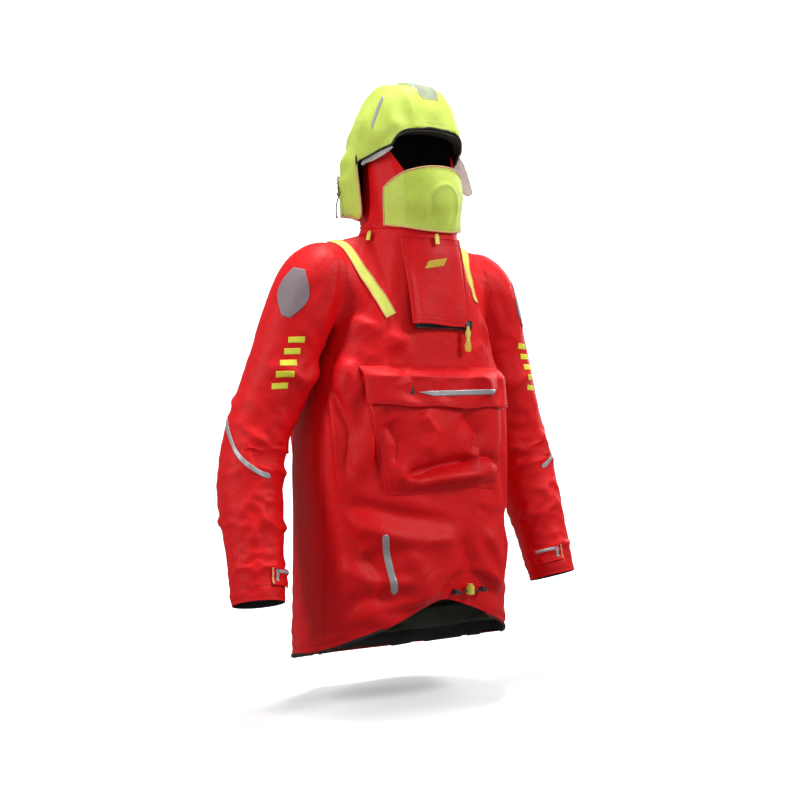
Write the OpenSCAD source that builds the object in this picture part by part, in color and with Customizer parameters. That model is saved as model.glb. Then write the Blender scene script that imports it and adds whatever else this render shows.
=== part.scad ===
// Foul weather smock: hooded offshore sailing top with face mask.
// Millimetres. +Z is up, +X is the wearer's left, -Y is the wearer's front.
// The origin is the hanger loop inside the back of the collar, where the garment hangs.

/* [Body] */
// Half width of the body at the waist
body_half_w = 213; // [205:1:225]
// Depth of the front of the body from its axis
body_front = 143; // [136:1:150]
// Depth of the back of the body from its axis
body_back = 135; // [128:1:145]
// Height of the front hem below the neck
front_hem = -687; // [-720:1:-660]
// Height of the back hem below the neck
back_hem = -817; // [-840:1:-790]
// Thickness of the laminated cloth with its lining
cloth_t = 3; // [2.4:0.1:3.2]

/* [Collar and mask] */
// Half width of the collar at the neck seam
neck_half_w = 88; // [84:1:92]
// Half depth of the collar at the neck seam
neck_half_d = 98; // [94:1:102]
// Height of the collar at the cheeks
collar_h = 150; // [140:1:158]
// Height of the top edge of the face mask
mask_top = 107; // [100:1:120]
// How far the mask stands forward at the nose
mask_nose = 20; // [14:1:26]

/* [Hood] */
// Height of the crown of the hood above the neck
hood_top = 274; // [266:1:284]
// Half width of the hood at the ears
hood_half_w = 105; // [102:1:108]

/* [Sleeves] */
// Distance of the shoulder joint from the middle of the body
shoulder_x = 195; // [193:1:197]
// Radius of the sleeve head
head_r = 69.5; // [68:0.5:70]
// Radius of the sleeve at the elbow
elbow_r = 61.5; // [61:0.5:63]
// Radius of the forearm at the elbow
forearm_r = 56; // [54:0.5:56]
// Radius of the cuff
cuff_r = 47; // [44:0.5:50]

/* [Pocket] */
// Half width of the pocket flap
flap_half_w = 161; // [150:1:165]
// Height of the pocket flap seam
pocket_top = -262; // [-270:1:-255]
// Drop of the pocket flap
flap_drop = 72; // [60:1:80]
// Height of the bottom of the pocket
pocket_bottom = -490; // [-500:1:-470]
// How far the pocket stands off the body
pocket_proud = 22; // [16:1:26]

/* [Zip] */
// Length of the entry zip
zip_len = 128; // [120:1:134]
// Height of the entry zip
zip_z = -184; // [-188:1:-182]

/* [Hidden] */

red = [0.84, 0.02, 0.07];
lime = [0.83, 0.90, 0.33];
silver = [0.70, 0.71, 0.72];
black = [0.07, 0.07, 0.08];
grey = [0.45, 0.45, 0.48];

loop_y = 62;          // the hanger loop lies this far behind the body axis
neck_y = -28;         // middle of the collar
neck_front_z = -12;   // neck seam at the front
neck_back_z = 8;      // neck seam at the back
pit_z = -175;         // level of the underarm
arm_x = 165;          // plane of the armhole
arm_z = -95;          // middle of the armhole and of the shoulder joint
hole_r = 67;          // radius of the armhole
seam_th = 16;         // side seams, degrees from the side of the body
seam_gap = 0.006;     // share of a panel left free along a seam
seam_top = 0.975;     // share of the yoke's height that a panel reaches
neck_share = 0.5;     // share of a half panel's top that belongs to the neck

// Arms, given for the wearer's left side and mirrored for the right
shoulder_p = [shoulder_x, 0, arm_z];
elbow_p = [320, 22, -430];
wrist_p = [340, -55, -680];
head_len = 110;       // length of the rounded sleeve head along the arm
cut_mid = 17;         // sleeve end above the elbow, at the sides
cut_swing = 35;       // added in front and taken away behind, to clear the bent forearm

// ---- Vector helpers ----
function unit(v) = v / norm(v);
function lerp(a, b, t) = a + (b - a) * t;
function spow(v, e) = sign(v) * pow(abs(v), e);
function bell(x, w) = exp(-x * x / (w * w));
function smooth(t) = let(c = max(0, min(1, t))) c * c * (3 - 2 * c);
function along(keys, s) = [for (k = [1:3]) lookup(s, [for (row = keys) [row[0], row[k]]])];

// Normal of a grid of points at row i, column j; wrap joins the last column to the first
function next_col(g, j, wrap) = wrap ? (j + 1) % len(g[0]) : min(j + 1, len(g[0]) - 1);
function prev_col(g, j, wrap) = wrap ? (j + len(g[0]) - 1) % len(g[0]) : max(j - 1, 0);
function grid_normal(g, i, j, wrap) = unit(cross(
    g[i][next_col(g, j, wrap)] - g[i][prev_col(g, j, wrap)],
    g[min(i + 1, len(g) - 1)][j] - g[max(i - 1, 0)][j]));
function raised(g, d, wrap = false) = [for (i = [0:len(g) - 1])
    [for (j = [0:len(g[0]) - 1]) g[i][j] + d * grid_normal(g, i, j, wrap)]];

function quad(a, b, c, d) = [[a, b, c], [a, c, d]];

// A closed sheet of cloth: grid g is its outer face, t its thickness.
// Columns run counter-clockwise seen from above and rows run upward.
module sheet(g, t, wrap = false) {
    inner = raised(g, -t, wrap);
    rows = len(g);
    cols = len(g[0]);
    n = rows * cols;
    last = wrap ? cols - 1 : cols - 2;
    function at(i, j) = i * cols + j % cols;
    faces = concat(
        [for (i = [0:rows - 2]) for (j = [0:last])
            for (f = quad(at(i, j), at(i + 1, j), at(i + 1, j + 1), at(i, j + 1))) f],
        [for (i = [0:rows - 2]) for (j = [0:last])
            for (f = quad(n + at(i, j), n + at(i, j + 1), n + at(i + 1, j + 1), n + at(i + 1, j))) f],
        [for (j = [0:last])
            for (f = quad(at(0, j), at(0, j + 1), n + at(0, j + 1), n + at(0, j))) f],
        [for (j = [0:last])
            for (f = quad(at(rows - 1, j + 1), at(rows - 1, j), n + at(rows - 1, j), n + at(rows - 1, j + 1))) f],
        wrap ? [] : [for (i = [0:rows - 2])
            for (f = quad(at(i + 1, 0), at(i, 0), n + at(i, 0), n + at(i + 1, 0))) f],
        wrap ? [] : [for (i = [0:rows - 2])
            for (f = quad(at(i, cols - 1), at(i + 1, cols - 1), n + at(i + 1, cols - 1), n + at(i, cols - 1))) f]
    );
    polyhedron(points = [for (layer = [g, inner]) for (row = layer) for (p = row) p], faces = faces);
}

// A round cord swept along points; up is any direction not along the cord
module cord(path, r, sides, up) {
    n = len(path);
    rings = [for (i = [0:n - 1]) let(
        d = unit(path[min(i + 1, n - 1)] - path[max(i - 1, 0)]),
        e = unit(cross(d, up)),
        f = cross(d, e))
        [for (k = [0:sides - 1]) path[i] + r * (cos(360 * k / sides) * e + sin(360 * k / sides) * f)]];
    faces = concat(
        [[for (k = [0:sides - 1]) k]],
        [for (i = [0:n - 2]) for (k = [0:sides - 1]) for (f = quad(
            i * sides + k, (i + 1) * sides + k,
            (i + 1) * sides + (k + 1) % sides, i * sides + (k + 1) % sides)) f],
        [[for (k = [sides - 1:-1:0]) (n - 1) * sides + k]]);
    polyhedron(points = [for (ring = rings) for (p = ring) p], faces = faces);
}

// Everything below is laid out about the body axis, then moved so the loop is the origin
module jacket() translate([0, -loop_y, 0]) children();
module mirrored(side) mirror([side < 0 ? 1 : 0, 0, 0]) children();

// ---- Body ----
function half_w(z) = lookup(z, [[back_hem, body_half_w], [-600, body_half_w], [-330, body_half_w - 5],
    [-250, 190], [-200, 172], [pit_z, arm_x]]);
function front_d(z) = lookup(z, [[back_hem, body_front - 3], [-600, body_front - 2], [-430, body_front],
    [-330, body_front - 2], [-250, body_front - 3], [pit_z, body_front - 6]]);
function back_d(z) = lookup(z, [[back_hem, body_back + 5], [-600, body_back], [-400, body_back - 7],
    [-250, body_back - 15], [pit_z, body_back - 23]]);
function corner_n(z) = lookup(z, [[back_hem, 2.6], [-330, 2.6], [-250, 2.5], [pit_z, 2.3]]);
function torso_pt(th, z, out = 0) = [
    (half_w(z) + out) * spow(cos(th), 2 / corner_n(z)),
    ((th < 0 ? front_d(z) : back_d(z)) + out) * spow(sin(th), 2 / corner_n(z)), z];
function hem_z(th) = front_hem + (back_hem - front_hem) * pow((1 + sin(th)) / 2, 0.4);
function neck_z(s) = lerp(neck_front_z, neck_back_z, (1 + s) / 2);
// Height of the front of the body at a given place across it
function front_y(x, z) = -front_d(z) * pow(1 - pow(abs(x) / half_w(z), corner_n(z)), 1 / corner_n(z));

// Front or back (face -1 or 1) above the underarm; h runs -1..1 across, v 0..1 up
function yoke_top(h, face) = let(a = abs(h), phi = 90 * min(a / neck_share, 1))
    a < neck_share
    ? [sign(h) * neck_half_w * sin(phi), neck_y + face * neck_half_d * cos(phi), neck_z(face * cos(phi))]
    : lerp([sign(h) * neck_half_w, neck_y, neck_z(0)],
        [sign(h) * arm_x, 0, arm_z + hole_r], (a - neck_share) / (1 - neck_share));
function yoke_low(h, face) = torso_pt(face * (90 - (90 - seam_th) * h), pit_z);
function hole_edge(side, face, v) = let(
    low = yoke_low(side, face),
    from = -acos(abs(low[1]) / hole_r),
    ang = lerp(from, 90, v))
    lerp(low, [side * arm_x, face * hole_r * cos(ang), arm_z + hole_r * sin(ang)], min(1, 6 * v));
function yoke_pt(h, v, face) = let(
    a = abs(h),
    side = h < 0 ? -1 : 1,
    fix = hole_edge(side, face, v) - lerp(yoke_low(side, face), yoke_top(side, face), v))
    lerp(yoke_low(h, face), yoke_top(h, face), v) + fix * pow(a, face < 0 ? 4 : 2.5)
    + [0, face * (face < 0 ? 4 : 16) * 4 * v * (1 - v) * (1 - a * a), 0];

function body_grid(face, low_rows, top_rows, cols) = let(e = 1 - seam_gap)
    concat(
        [for (i = [0:low_rows]) [for (j = [0:cols]) let(
            h = lerp(face < 0 ? -e : e, face < 0 ? e : -e, j / cols),
            th = face * (90 - (90 - seam_th) * h))
            torso_pt(th, lerp(hem_z(th), pit_z, i / low_rows))]],
        [for (i = [1:top_rows]) [for (j = [0:cols]) let(
            h = lerp(face < 0 ? -e : e, face < 0 ? e : -e, j / cols))
            yoke_pt(h, seam_top * i / top_rows, face)]]);

function side_grid(low_rows, cols) = let(e = seam_th - 0.5)
    concat(
        [for (i = [0:low_rows]) [for (j = [0:cols]) let(th = lerp(-e, e, j / cols))
            torso_pt(th, lerp(hem_z(th), pit_z, i / low_rows))]],
        [for (i = [1:2]) [for (j = [0:cols]) let(
            low = torso_pt(lerp(-e, e, j / cols), pit_z))
            lerp(low, [arm_x, low[1], arm_z - sqrt(hole_r * hole_r - low[1] * low[1])], i / 2)]]);

module front_body_panel() color(red) jacket() sheet(body_grid(-1, 10, 7, 24), cloth_t);
module back_body_panel() color(red) jacket() sheet(body_grid(1, 10, 7, 24), cloth_t);
module side_panel(side) color(red) jacket() mirrored(side) sheet(side_grid(10, 4), cloth_t);

// A band inside the body between two levels above the hem, d below the outer face
function inside_band(from, to, rows, cols, inset) = [for (i = [0:rows]) [for (j = [0:cols - 1]) let(
    th = -180 + 360 * (j + 0.5) / cols)
    torso_pt(th, hem_z(th) + lerp(from, to, i / rows), -inset)]];
module hem_facing() color(black) jacket() sheet(inside_band(4, 58, 2, 40, cloth_t + 1.2), 1.2, true);

// The inner waistband hangs from the body seam and narrows to grip the waist
waist_seam_z = -540;
waist_drop = 95;
module inner_waistband() color(black) jacket() sheet([for (i = [0:3]) [for (j = [0:39]) let(
    th = -180 + 360 * (j + 0.5) / 40,
    t = i / 3)
    torso_pt(th, waist_seam_z - waist_drop * (1 - t), -lerp(34, cloth_t + 1.2, t))]], 2, true);

// ---- Collar ----
function collar_top(th) = lookup(abs(th + 90) > 180 ? 360 - abs(th + 90) : abs(th + 90),
    [[0, 92], [40, 98], [62, collar_h - 8], [80, collar_h], [130, collar_h - 8], [180, collar_h - 22]]);
function collar_pt(th, t, out = 0) = [
    (neck_half_w - 5 * t + out) * cos(th),
    neck_y + 4 * t + (neck_half_d - 7 * t + out) * sin(th),
    lerp(neck_z(sin(th)) + 1.5, collar_top(th), t)];
function collar_grid(out, low, high, cols) = [for (i = [0:6]) [for (j = [0:cols - 1])
    collar_pt(-180 + 360 * j / cols, lerp(low, high, i / 6), out)]];
module collar_shell() color(red) jacket() sheet(collar_grid(0, 0, 1, 40), cloth_t, true);
module collar_lining() color(black) jacket() sheet(collar_grid(-cloth_t - 0.8, 0.05, 0.97, 40), 1.5, true);

// Webbing loop standing inside the back of the collar, open from side to side
loop_w = 12;
module hanger_loop() color(black) translate([-loop_w / 2, 0, 0]) rotate([90, 0, 90])
    linear_extrude(loop_w) difference() {
        polygon([[-7, -22], [1.2, -26], [1.2, 26], [-7, 22]]);
        polygon([[-5.6, -20], [-0.2, -22], [-0.2, 22], [-5.6, 20]]);
    }

// ---- Hood ----
// Seam between centre and side panels, from the rim over the crown to the back of the skirt
hood_seam = [[0, 45, -115, 176], [0.12, 46, -101, 219], [0.24, 48, -76, hood_top - 20],
    [0.38, 50, -30, hood_top - 3], [0.52, 50, 20, hood_top - 6], [0.66, 50, 72, hood_top - 34],
    [0.8, 48, 108, hood_top - 95], [0.9, 44, 116, 110], [1, 40, 110, 37]];
// Free edge of a side panel: rim, ear, front of the skirt, bottom of the skirt
hood_edge = [[0, 80, -88, 148], [0.2, hood_half_w - 4, -40, 130], [0.36, hood_half_w, -9, 119],
    [0.5, hood_half_w - 1, -15, 76], [0.64, hood_half_w - 4, -17, 22], [0.82, 92, 45, 29], [1, 62, 92, 34]];
function hood_side_pt(s, r, out = 0) = let(
    p = lerp(along(hood_edge, s), along(hood_seam, s), r),
    swell = 4 * r * (1 - r))
    p + swell * [6 + 14 * smooth(3 * s), 0, 6 * (1 - s)]
    + out * unit([p[0], (p[1] - 5) * r, (p[2] - 150) * r + 20]);
function hood_side_grid(e) = [for (i = [0:8]) [for (j = [0:20])
    hood_side_pt(j / 20, lerp(0, 1 - e, i / 8))]];
function hood_centre_grid(half) = [for (i = [0:6]) [for (j = [0:20]) let(
    k = lerp(half, -half, i / 6),
    p = along(hood_seam, j / 20))
    [p[0] * k, p[1], p[2]] + 7 * (1 - k * k) * unit([0, p[1], p[2] - 130])]];
module hood_centre_panel() color(lime) jacket() sheet(hood_centre_grid(0.98), 2.4);
module hood_side_panel(side) color(lime) jacket() mirrored(side) sheet(hood_side_grid(0.01), 2.4);
// The lining repeats the three panels inside them
module hood_lining() color(black) jacket() {
    sheet(raised(hood_centre_grid(0.9), -3.6), 1.2);
    for (side = [-1, 1]) mirrored(side) sheet(raised(hood_side_grid(0.08), -3.6), 1.2);
}
function hood_rim() = concat(
    [for (s = [0.36:-0.06:0.0]) along(hood_edge, s)],
    [for (r = [0.25:0.25:1]) hood_side_pt(0, r)]);
function mirror_x(path) = [for (k = [len(path) - 1:-1:0]) [-path[k][0], path[k][1], path[k][2]]];
rim_r = 3.2;
module hood_rim_binding() color(black) jacket() cord(
    [for (p = concat(hood_rim(), [[0, -122, 178]], mirror_x(hood_rim()))) p + [0, -7.2, -2.2]],
    rim_r, 8, [0, 0.3, 1]);
// Reflective patch on the crown
module hood_crown_patch() color(silver) jacket() sheet([for (i = [0:4]) [for (j = [0:6]) let(
    k = lerp(0.55, -0.55, i / 4),
    p = along(hood_seam, lerp(0.16, 0.42, j / 6)))
    [p[0] * k, p[1], p[2]] + (7 * (1 - k * k) + 1.9) * unit([0, p[1], p[2] - 130])]], 0.9);
// A plain slanted bar on the right of the hood
module hood_right_flash() color(grey) jacket() mirrored(-1) sheet(raised([for (i = [0:3]) [for (j = [0:5])
    hood_side_pt(lerp(0.21, 0.29, j / 5) + 0.06 * i / 3, lerp(0.42, 0.82, i / 3))]], 1.8), 0.9);
// Clear window flap at the side of the face, below the rim
module side_window(side) color([0.8, 0.85, 0.82]) jacket() mirrored(side)
    sheet([for (i = [0:4]) [for (j = [0:6]) let(
        s = lerp(0.06, 0.34, j / 6),
        p = along(hood_edge, s))
        p + [-5, -6, lerp(-8 - 26 * smooth(4 * s), -5, i / 4)]]], 0.8);

// ---- Face mask ----
mask_th = 66;         // the mask wraps this far each side of the front
mask_gap = 4;
function mask_pt(h, t) = let(
    th = -90 + mask_th * h,
    nose = mask_nose * bell(h, 0.55) * bell(t - 0.56, 0.36) + 5 * bell(h, 1.1),
    low = lerp(neck_front_z + 2, 2, h * h),
    high = mask_top - 14 * pow(abs(h), 3),
    base = collar_pt(th, 0.5, mask_gap + nose))
    [base[0], base[1], lerp(low, high, t)];
module face_mask() color(lime) jacket() sheet([for (i = [0:12]) [for (j = [0:20])
    mask_pt(-1 + 2 * j / 20, i / 12)]], 2.4);
// Raised breathing vent on the nose of the mask
module mask_vent() color(lime) jacket() sheet(raised([for (i = [0:5]) [for (j = [0:6])
    mask_pt(0.26 * (-1 + 2 * j / 6) * (1 - 0.35 * i / 5), lerp(0.3, 0.62, i / 5))]], 4), 2.6);

// ---- Sleeves ----
arm_d = unit(elbow_p - shoulder_p);
arm_len = norm(elbow_p - shoulder_p);
fore_d = unit(wrist_p - elbow_p);
fore_len = norm(wrist_p - elbow_p);
function side_axis(d) = unit([1, 0, 0] - d[0] * d);
function ring_pt(c, d, r, psi) = c + r * (cos(psi) * side_axis(d) + sin(psi) * cross(-d, side_axis(d)));
function clear_of_body(p) = [max(p[0], p[2] < arm_z ? half_w(p[2]) + 4 : arm_x + 3), p[1], p[2]];
function arm_r(l) = lerp(head_r, elbow_r, l / arm_len);
function arm_ring(psi, l, out = 0) = clear_of_body(ring_pt(shoulder_p + l * arm_d, arm_d, arm_r(l) + out, psi));
function head_start(psi) = let(r = sqrt(head_r * head_r - pow(shoulder_x - arm_x - 3, 2)))
    [arm_x + 3, r * sin(psi), arm_z + r * cos(psi)];
// Pushes a point out to the round end or to the side of the arm
function on_arm(p) = let(
    l = p * arm_d,
    across = p - l * arm_d,
    r = arm_r(l))
    l < 0 ? (norm(p) < head_r ? head_r * unit(p) : p)
    : (norm(across) < r ? l * arm_d + r * unit(across) : p);
function head_pt(psi, s) = clear_of_body(shoulder_p
    + on_arm(lerp(arm_ring(psi, head_len), head_start(psi), s) - shoulder_p));
function arm_end(psi) = arm_len - cut_mid + cut_swing * sin(psi);
arm_cols = 28;
function arm_grid() = concat(
    [for (i = [0:6]) [for (j = [0:arm_cols - 1]) let(psi = -180 + 360 * j / arm_cols)
        arm_ring(psi, lerp(arm_end(psi), head_len, i / 6))]],
    [for (i = [1:9]) [for (j = [0:arm_cols - 1])
        head_pt(-180 + 360 * j / arm_cols, i / 9)]]);
module upper_sleeve(side) color(red) jacket() mirrored(side) sheet(arm_grid(), cloth_t, true);

function fore_ring(psi, l, out = 0) =
    ring_pt(elbow_p + l * fore_d, fore_d, lerp(forearm_r, cuff_r, l / fore_len) + out, psi);
module forearm_sleeve(side) color(red) jacket() mirrored(side)
    sheet([for (i = [0:7]) [for (j = [0:arm_cols - 1])
        fore_ring(-180 + 360 * j / arm_cols, lerp(fore_len, 1, i / 7))]], cloth_t, true);
// Round gusset that keeps the elbow covered while the forearm bends
gusset_top = 34;
module elbow_gusset(side) color(red) jacket() mirrored(side) translate(elbow_p)
    rotate([0, acos(-fore_d[2]), atan2(-fore_d[1], -fore_d[0])])
        difference() {
            sphere(r = forearm_r, $fn = 64);
            sphere(r = forearm_r - cloth_t, $fn = 64);
            translate([0, 0, -forearm_r - 1]) cube(2 * forearm_r + 4, center = true);
            translate([0, 0, forearm_r + gusset_top]) cube(2 * forearm_r, center = true);
        }
// Stretch seal inside the cuff
module wrist_seal(side) color(black) jacket() mirrored(side)
    sheet([for (i = [0:4]) [for (j = [0:23]) let(t = i / 4)
        ring_pt(elbow_p + (fore_len - lerp(14, 66, t)) * fore_d, fore_d, lerp(33, cuff_r - 4, t),
            -180 + 360 * j / 24)]], 2, true);
// Silver stripe, straight across the forearm and bent up at its outer end
module sleeve_stripe(side) color(silver) jacket() mirrored(side)
    sheet(raised([for (i = [0:2]) [for (j = [0:16]) let(u = j / 16)
        fore_ring(lerp(-170, -10, u), lerp(52, 40, u) - 34 * smooth((u - 0.6) / 0.4) - 4.5 * i + 9)]], 1.8), 0.9);
module shoulder_patch(side) color(grey) jacket() mirrored(side)
    sheet(raised([for (i = [0:8]) [for (j = [0:8])
        head_pt(lerp(-60, -12, j / 8), lerp(0.2, 0.6, i / 8))]], 2.4), 0.9);
// Plain bars up the front of the upper sleeve
module sleeve_flash(side) color([0.9, 0.88, 0.15]) jacket() mirrored(side)
    for (k = [0:4]) sheet(raised([for (i = [0:2]) [for (j = [0:4])
        arm_ring(lerp(-84, -52, j / 4), 226 - 22 * k - 6 * i)]], 1.8), 0.9);
// Cuff tab on the front of the cuff; its free end faces the wearer's other hand
tab_from = -96;
tab_to = -160;
module cuff_strip(from, to, low, high, out) sheet(raised([for (i = [0:2]) [for (j = [0:7])
    fore_ring(lerp(to, from, j / 7), fore_len - lerp(low, high, i / 2))]], out), 1.6);
module cuff_tab(side) color(red) jacket() mirrored(side) cuff_strip(tab_from, tab_to, 26, 54, 3);
module cuff_reflector(side) color(silver) jacket() mirrored(side) {
    cuff_strip(tab_from - 8, tab_to + 8, 30, 36, 5.2);
    cuff_strip(tab_from - 8, tab_from - 16, 37, 50, 5.2);
}

// ---- Flat trim on the front ----
// A strip w wide along points, standing d off the surface whose outward direction is given
function strip_grid(path, out, w, rise) = [for (i = [0:2]) [for (k = [0:len(path) - 1]) let(
    d = unit(path[min(k + 1, len(path) - 1)] - path[max(k - 1, 0)]),
    n = unit(out[k]))
    path[k] + rise * n + w * (i / 2 - 0.5) * unit(cross(n, d))]];
function yoke_normal(h, v) = cross(
    yoke_pt(h + 0.01, v, -1) - yoke_pt(h - 0.01, v, -1), yoke_pt(h, v + 0.01, -1) - yoke_pt(h, v - 0.01, -1));
module yoke_strip(h_keys, v_from, v_to, w) let(
    vs = [for (k = [0:10]) lerp(v_from, v_to, k / 10)],
    pts = [for (v = vs) yoke_pt(lookup(v, h_keys), v, -1)],
    out = [for (v = vs) yoke_normal(lookup(v, h_keys), v)])
    sheet(strip_grid(pts, out, w, 2.6), 1);
tape_w = 20;
module right_shoulder_tape() color(lime) jacket()
    yoke_strip([[0, -0.44], [0.3, -0.62], [0.6, -0.8], [1, -0.93]], 0.93, 0.02, tape_w);
module left_shoulder_tape() color(lime) jacket()
    yoke_strip([[0, 0.48], [0.3, 0.53], [0.6, 0.62], [1, 0.86]], 0.93, 0.24, tape_w);
module right_hip_stripe() color(silver) jacket() let(
    zs = [for (k = [0:6]) lerp(-565, -670, k / 6)],
    pts = [for (z = zs) let(x = -lerp(128, 107, (z + 565) / -105)) [x, front_y(x, z), z]])
    sheet(strip_grid(pts, [for (p = pts) [p[0] / 400, -1, 0]], 11, 3.4), 0.9);

// ---- Storm flap and entry zip ----
// u runs across the flap and t up it; the lower edge stands clear of the zip
function storm_pt(u, t) = yoke_pt(
    lerp(lerp(-0.26, -0.2, t), lerp(0.28, 0.24, t), u), lerp(0.02, 0.8, t), -1)
    - [0, 6 + 7 * (1 - t) * (1 - t), 0];
module storm_flap() color(red) jacket() sheet([for (i = [0:8]) [for (j = [0:10])
    storm_pt(j / 10, i / 8)]], cloth_t);
// Plain lozenge sewn on the flap
module chest_emblem() color(grey) jacket() sheet(raised([for (i = [0:2]) [for (j = [0:4])
    storm_pt(lerp(0.3, 0.58, j / 4), lerp(0.62, 0.72, i / 2) + 0.04 * j / 4)]], 1.8), 0.9);

zip_y = -145;         // front face of the zip chain
module entry_zip_tape() color(black) jacket() translate([-zip_len / 2, zip_y + 3.2, zip_z - 9])
    cube([zip_len, 2.2, 18]);
tooth_pitch = 3.2;
module entry_zip_teeth() color(grey) jacket() {
    for (k = [0:floor((zip_len - 12) / tooth_pitch)])
        translate([6 - zip_len / 2 + k * tooth_pitch, zip_y + 0.6, zip_z - 2.5]) cube([2, 2.5, 5]);
    for (end = [-1, 1]) translate([end * (zip_len / 2 - 2.5) - 2, zip_y, zip_z - 4]) cube([4, 3.1, 8]);
}
slider_x = 50;
slider_l = 11;
pin_y = zip_y - 3.4;
module zip_slider() color([0.25, 0.25, 0.27]) jacket() translate([slider_x, 0, zip_z]) {
    difference() {
        translate([-slider_l / 2, zip_y - 1.4, -5]) cube([slider_l, 4.2, 10]);
        translate([-slider_l, zip_y + 0.2, -3.2]) cube([2 * slider_l, 4, 6.4]);
    }
    for (s = [-1, 1]) translate([s * 3.6 - 0.7, pin_y - 1.6, -2]) cube([1.4, 3.8, 4]);
    translate([-3.4, pin_y, 0]) rotate([0, 90, 0]) cylinder(r = 0.8, h = 6.8, $fn = 32);
}
// Long moulded pull hanging from the slider's pin
pull_l = 50;
module zip_pull() color([0.95, 0.80, 0.22]) jacket() translate([slider_x, pin_y, zip_z]) difference() {
    union() {
        rotate([0, 90, 0]) cylinder(r = 2, h = 4.6, center = true, $fn = 32);
        translate([0, 1.4, 0]) rotate([90, 0, 0]) linear_extrude(2.8)
            polygon([[-2.3, 0], [2.3, 0], [4, -9], [6.5, -13], [4.6, -24], [7.5, -40], [5, -pull_l],
                [-5, -pull_l], [-7.5, -40], [-4.6, -24], [-6.5, -13], [-4, -9]]);
    }
    rotate([0, 90, 0]) cylinder(r = 1.1, h = 20, center = true, $fn = 32);
}

// ---- Pocket ----
bag_half_w = flap_half_w - 5;
bag_top = pocket_top - 16;
function bag_edge(t) = bag_half_w - 30 * (1 - t) * (1 - t);
// The bag's top corners dip to clear the flap as it turns up
function bag_pt(u, t) = let(
    x = u * bag_edge(t),
    z = lerp(pocket_bottom, bag_top - 18 * pow(abs(u), 4), t),
    proud = pocket_proud * (1 - pow(abs(u), 8)) * smooth(t * 6) * lerp(1.1, 0.8, t))
    [x, front_y(x, z) - 4.6 - proud, z];
module pocket_bag() color(red) jacket() sheet([for (i = [0:12]) [for (j = [0:24])
    bag_pt(-1 + 2 * j / 24, i / 12)]], 2.2);
function pocket_flap_pt(u, t, out = 0) = let(
    x = u * flap_half_w,
    z = pocket_top - flap_drop * (1 - t),
    proud = lerp(pocket_proud * (1 - pow(abs(u), 8) * 0.6) + 6, 3, smooth((t - 0.72) / 0.28)))
    [x, front_y(x * 0.985, z) - 4 - proud - out, z];
function flap_rows(k) = [0, 0.2, 0.4, 0.6, 0.72, 0.79, 0.86, 0.93, 1][k];
module pocket_flap() color(red) jacket() sheet([for (i = [0:8]) [for (j = [0:24])
    pocket_flap_pt(-1 + 2 * j / 24, flap_rows(i))]], cloth_t);
module pocket_flap_stripe() color(silver) jacket() sheet([for (i = [0:1]) [for (j = [0:14]) let(
    u = lerp(-0.45, 0.62, j / 14), tip = max(0.1, min(1, j, 14 - j)))
    pocket_flap_pt(u, lerp(0.34 - 0.06 * tip, 0.34 + 0.1 * tip, i), 1.8)]], 0.9);
// Hook strip on the top of the pocket bag, under the flap
module pocket_closure_strip() color(black) jacket() sheet(raised([for (i = [0:1]) [for (j = [0:14])
    bag_pt(lerp(-0.6, 0.6, j / 14), lerp(0.8, 0.9, i))]], 2), 1.2);

// ---- Hem fittings ----
lock_x = 54;
lock_z = front_hem + 10;
hem_cord_y = front_y(lock_x, lock_z) - 11;
cord_len = 64;
module hem_eyelets() color(black) jacket() for (end = [-1, 1])
    translate([lock_x + end * cord_len / 2, hem_cord_y, lock_z]) difference() {
        translate([0, 9.4, 0]) rotate([90, 0, 0]) cylinder(r = 5, h = 13, $fn = 48);
        rotate([0, 90, 0]) cylinder(r = 1.6, h = 12, center = true, $fn = 24);
    }
module hem_drawcord() color(black) jacket() translate([lock_x, hem_cord_y, lock_z])
    rotate([0, 90, 0]) cylinder(r = 1.5, h = cord_len + 8, center = true, $fn = 24);
lock_w = 16;
module hem_cord_lock() color([0.9, 0.9, 0.2]) jacket() translate([lock_x, hem_cord_y, lock_z])
    difference() {
        translate([0, 0, -6]) cylinder(r = lock_w / 2, h = 15, $fn = 48);
        rotate([0, 90, 0]) cylinder(r = 1.9, h = 2 * lock_w, center = true, $fn = 24);
        translate([0, 0, 3.4]) cylinder(r = 5.4, h = 6, $fn = 48);
    }
module hem_lock_button() color([0.9, 0.9, 0.2]) jacket() translate([lock_x, hem_cord_y, lock_z + 7])
    cylinder(r = 5, h = 6, $fn = 48);

// Small pull tab of a collar drawcord. It lies on the yoke, pointing down the slope, and
// turns about its round eye; p is the eye, n the outward direction of the yoke.
module collar_toggle(p, n) let(
    down = unit([0, 0, -1] + n[2] * n),
    side = cross(n, down))
    color([0.93, 0.86, 0.25]) jacket() multmatrix([
        [side[0], -n[0], -down[0], p[0]],
        [side[1], -n[1], -down[1], p[1]],
        [side[2], -n[2], -down[2], p[2]],
        [0, 0, 0, 1]]) difference() {
            union() {
                rotate([0, 90, 0]) cylinder(r = 2.4, h = 4, center = true, $fn = 32);
                translate([-3.5, -1.8, -17]) cube([7, 3.6, 15.5]);
            }
            rotate([0, 90, 0]) cylinder(r = 1.2, h = 12, center = true, $fn = 32);
        }
side_n = unit(yoke_normal(-0.5, 0.86));
front_n = unit(yoke_normal(-0.04, 0.92));
toggle_side = yoke_pt(-0.5, 0.93, -1) + 8.8 * side_n;
toggle_front = yoke_pt(-0.04, 0.94, -1) + 9 * front_n;

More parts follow.
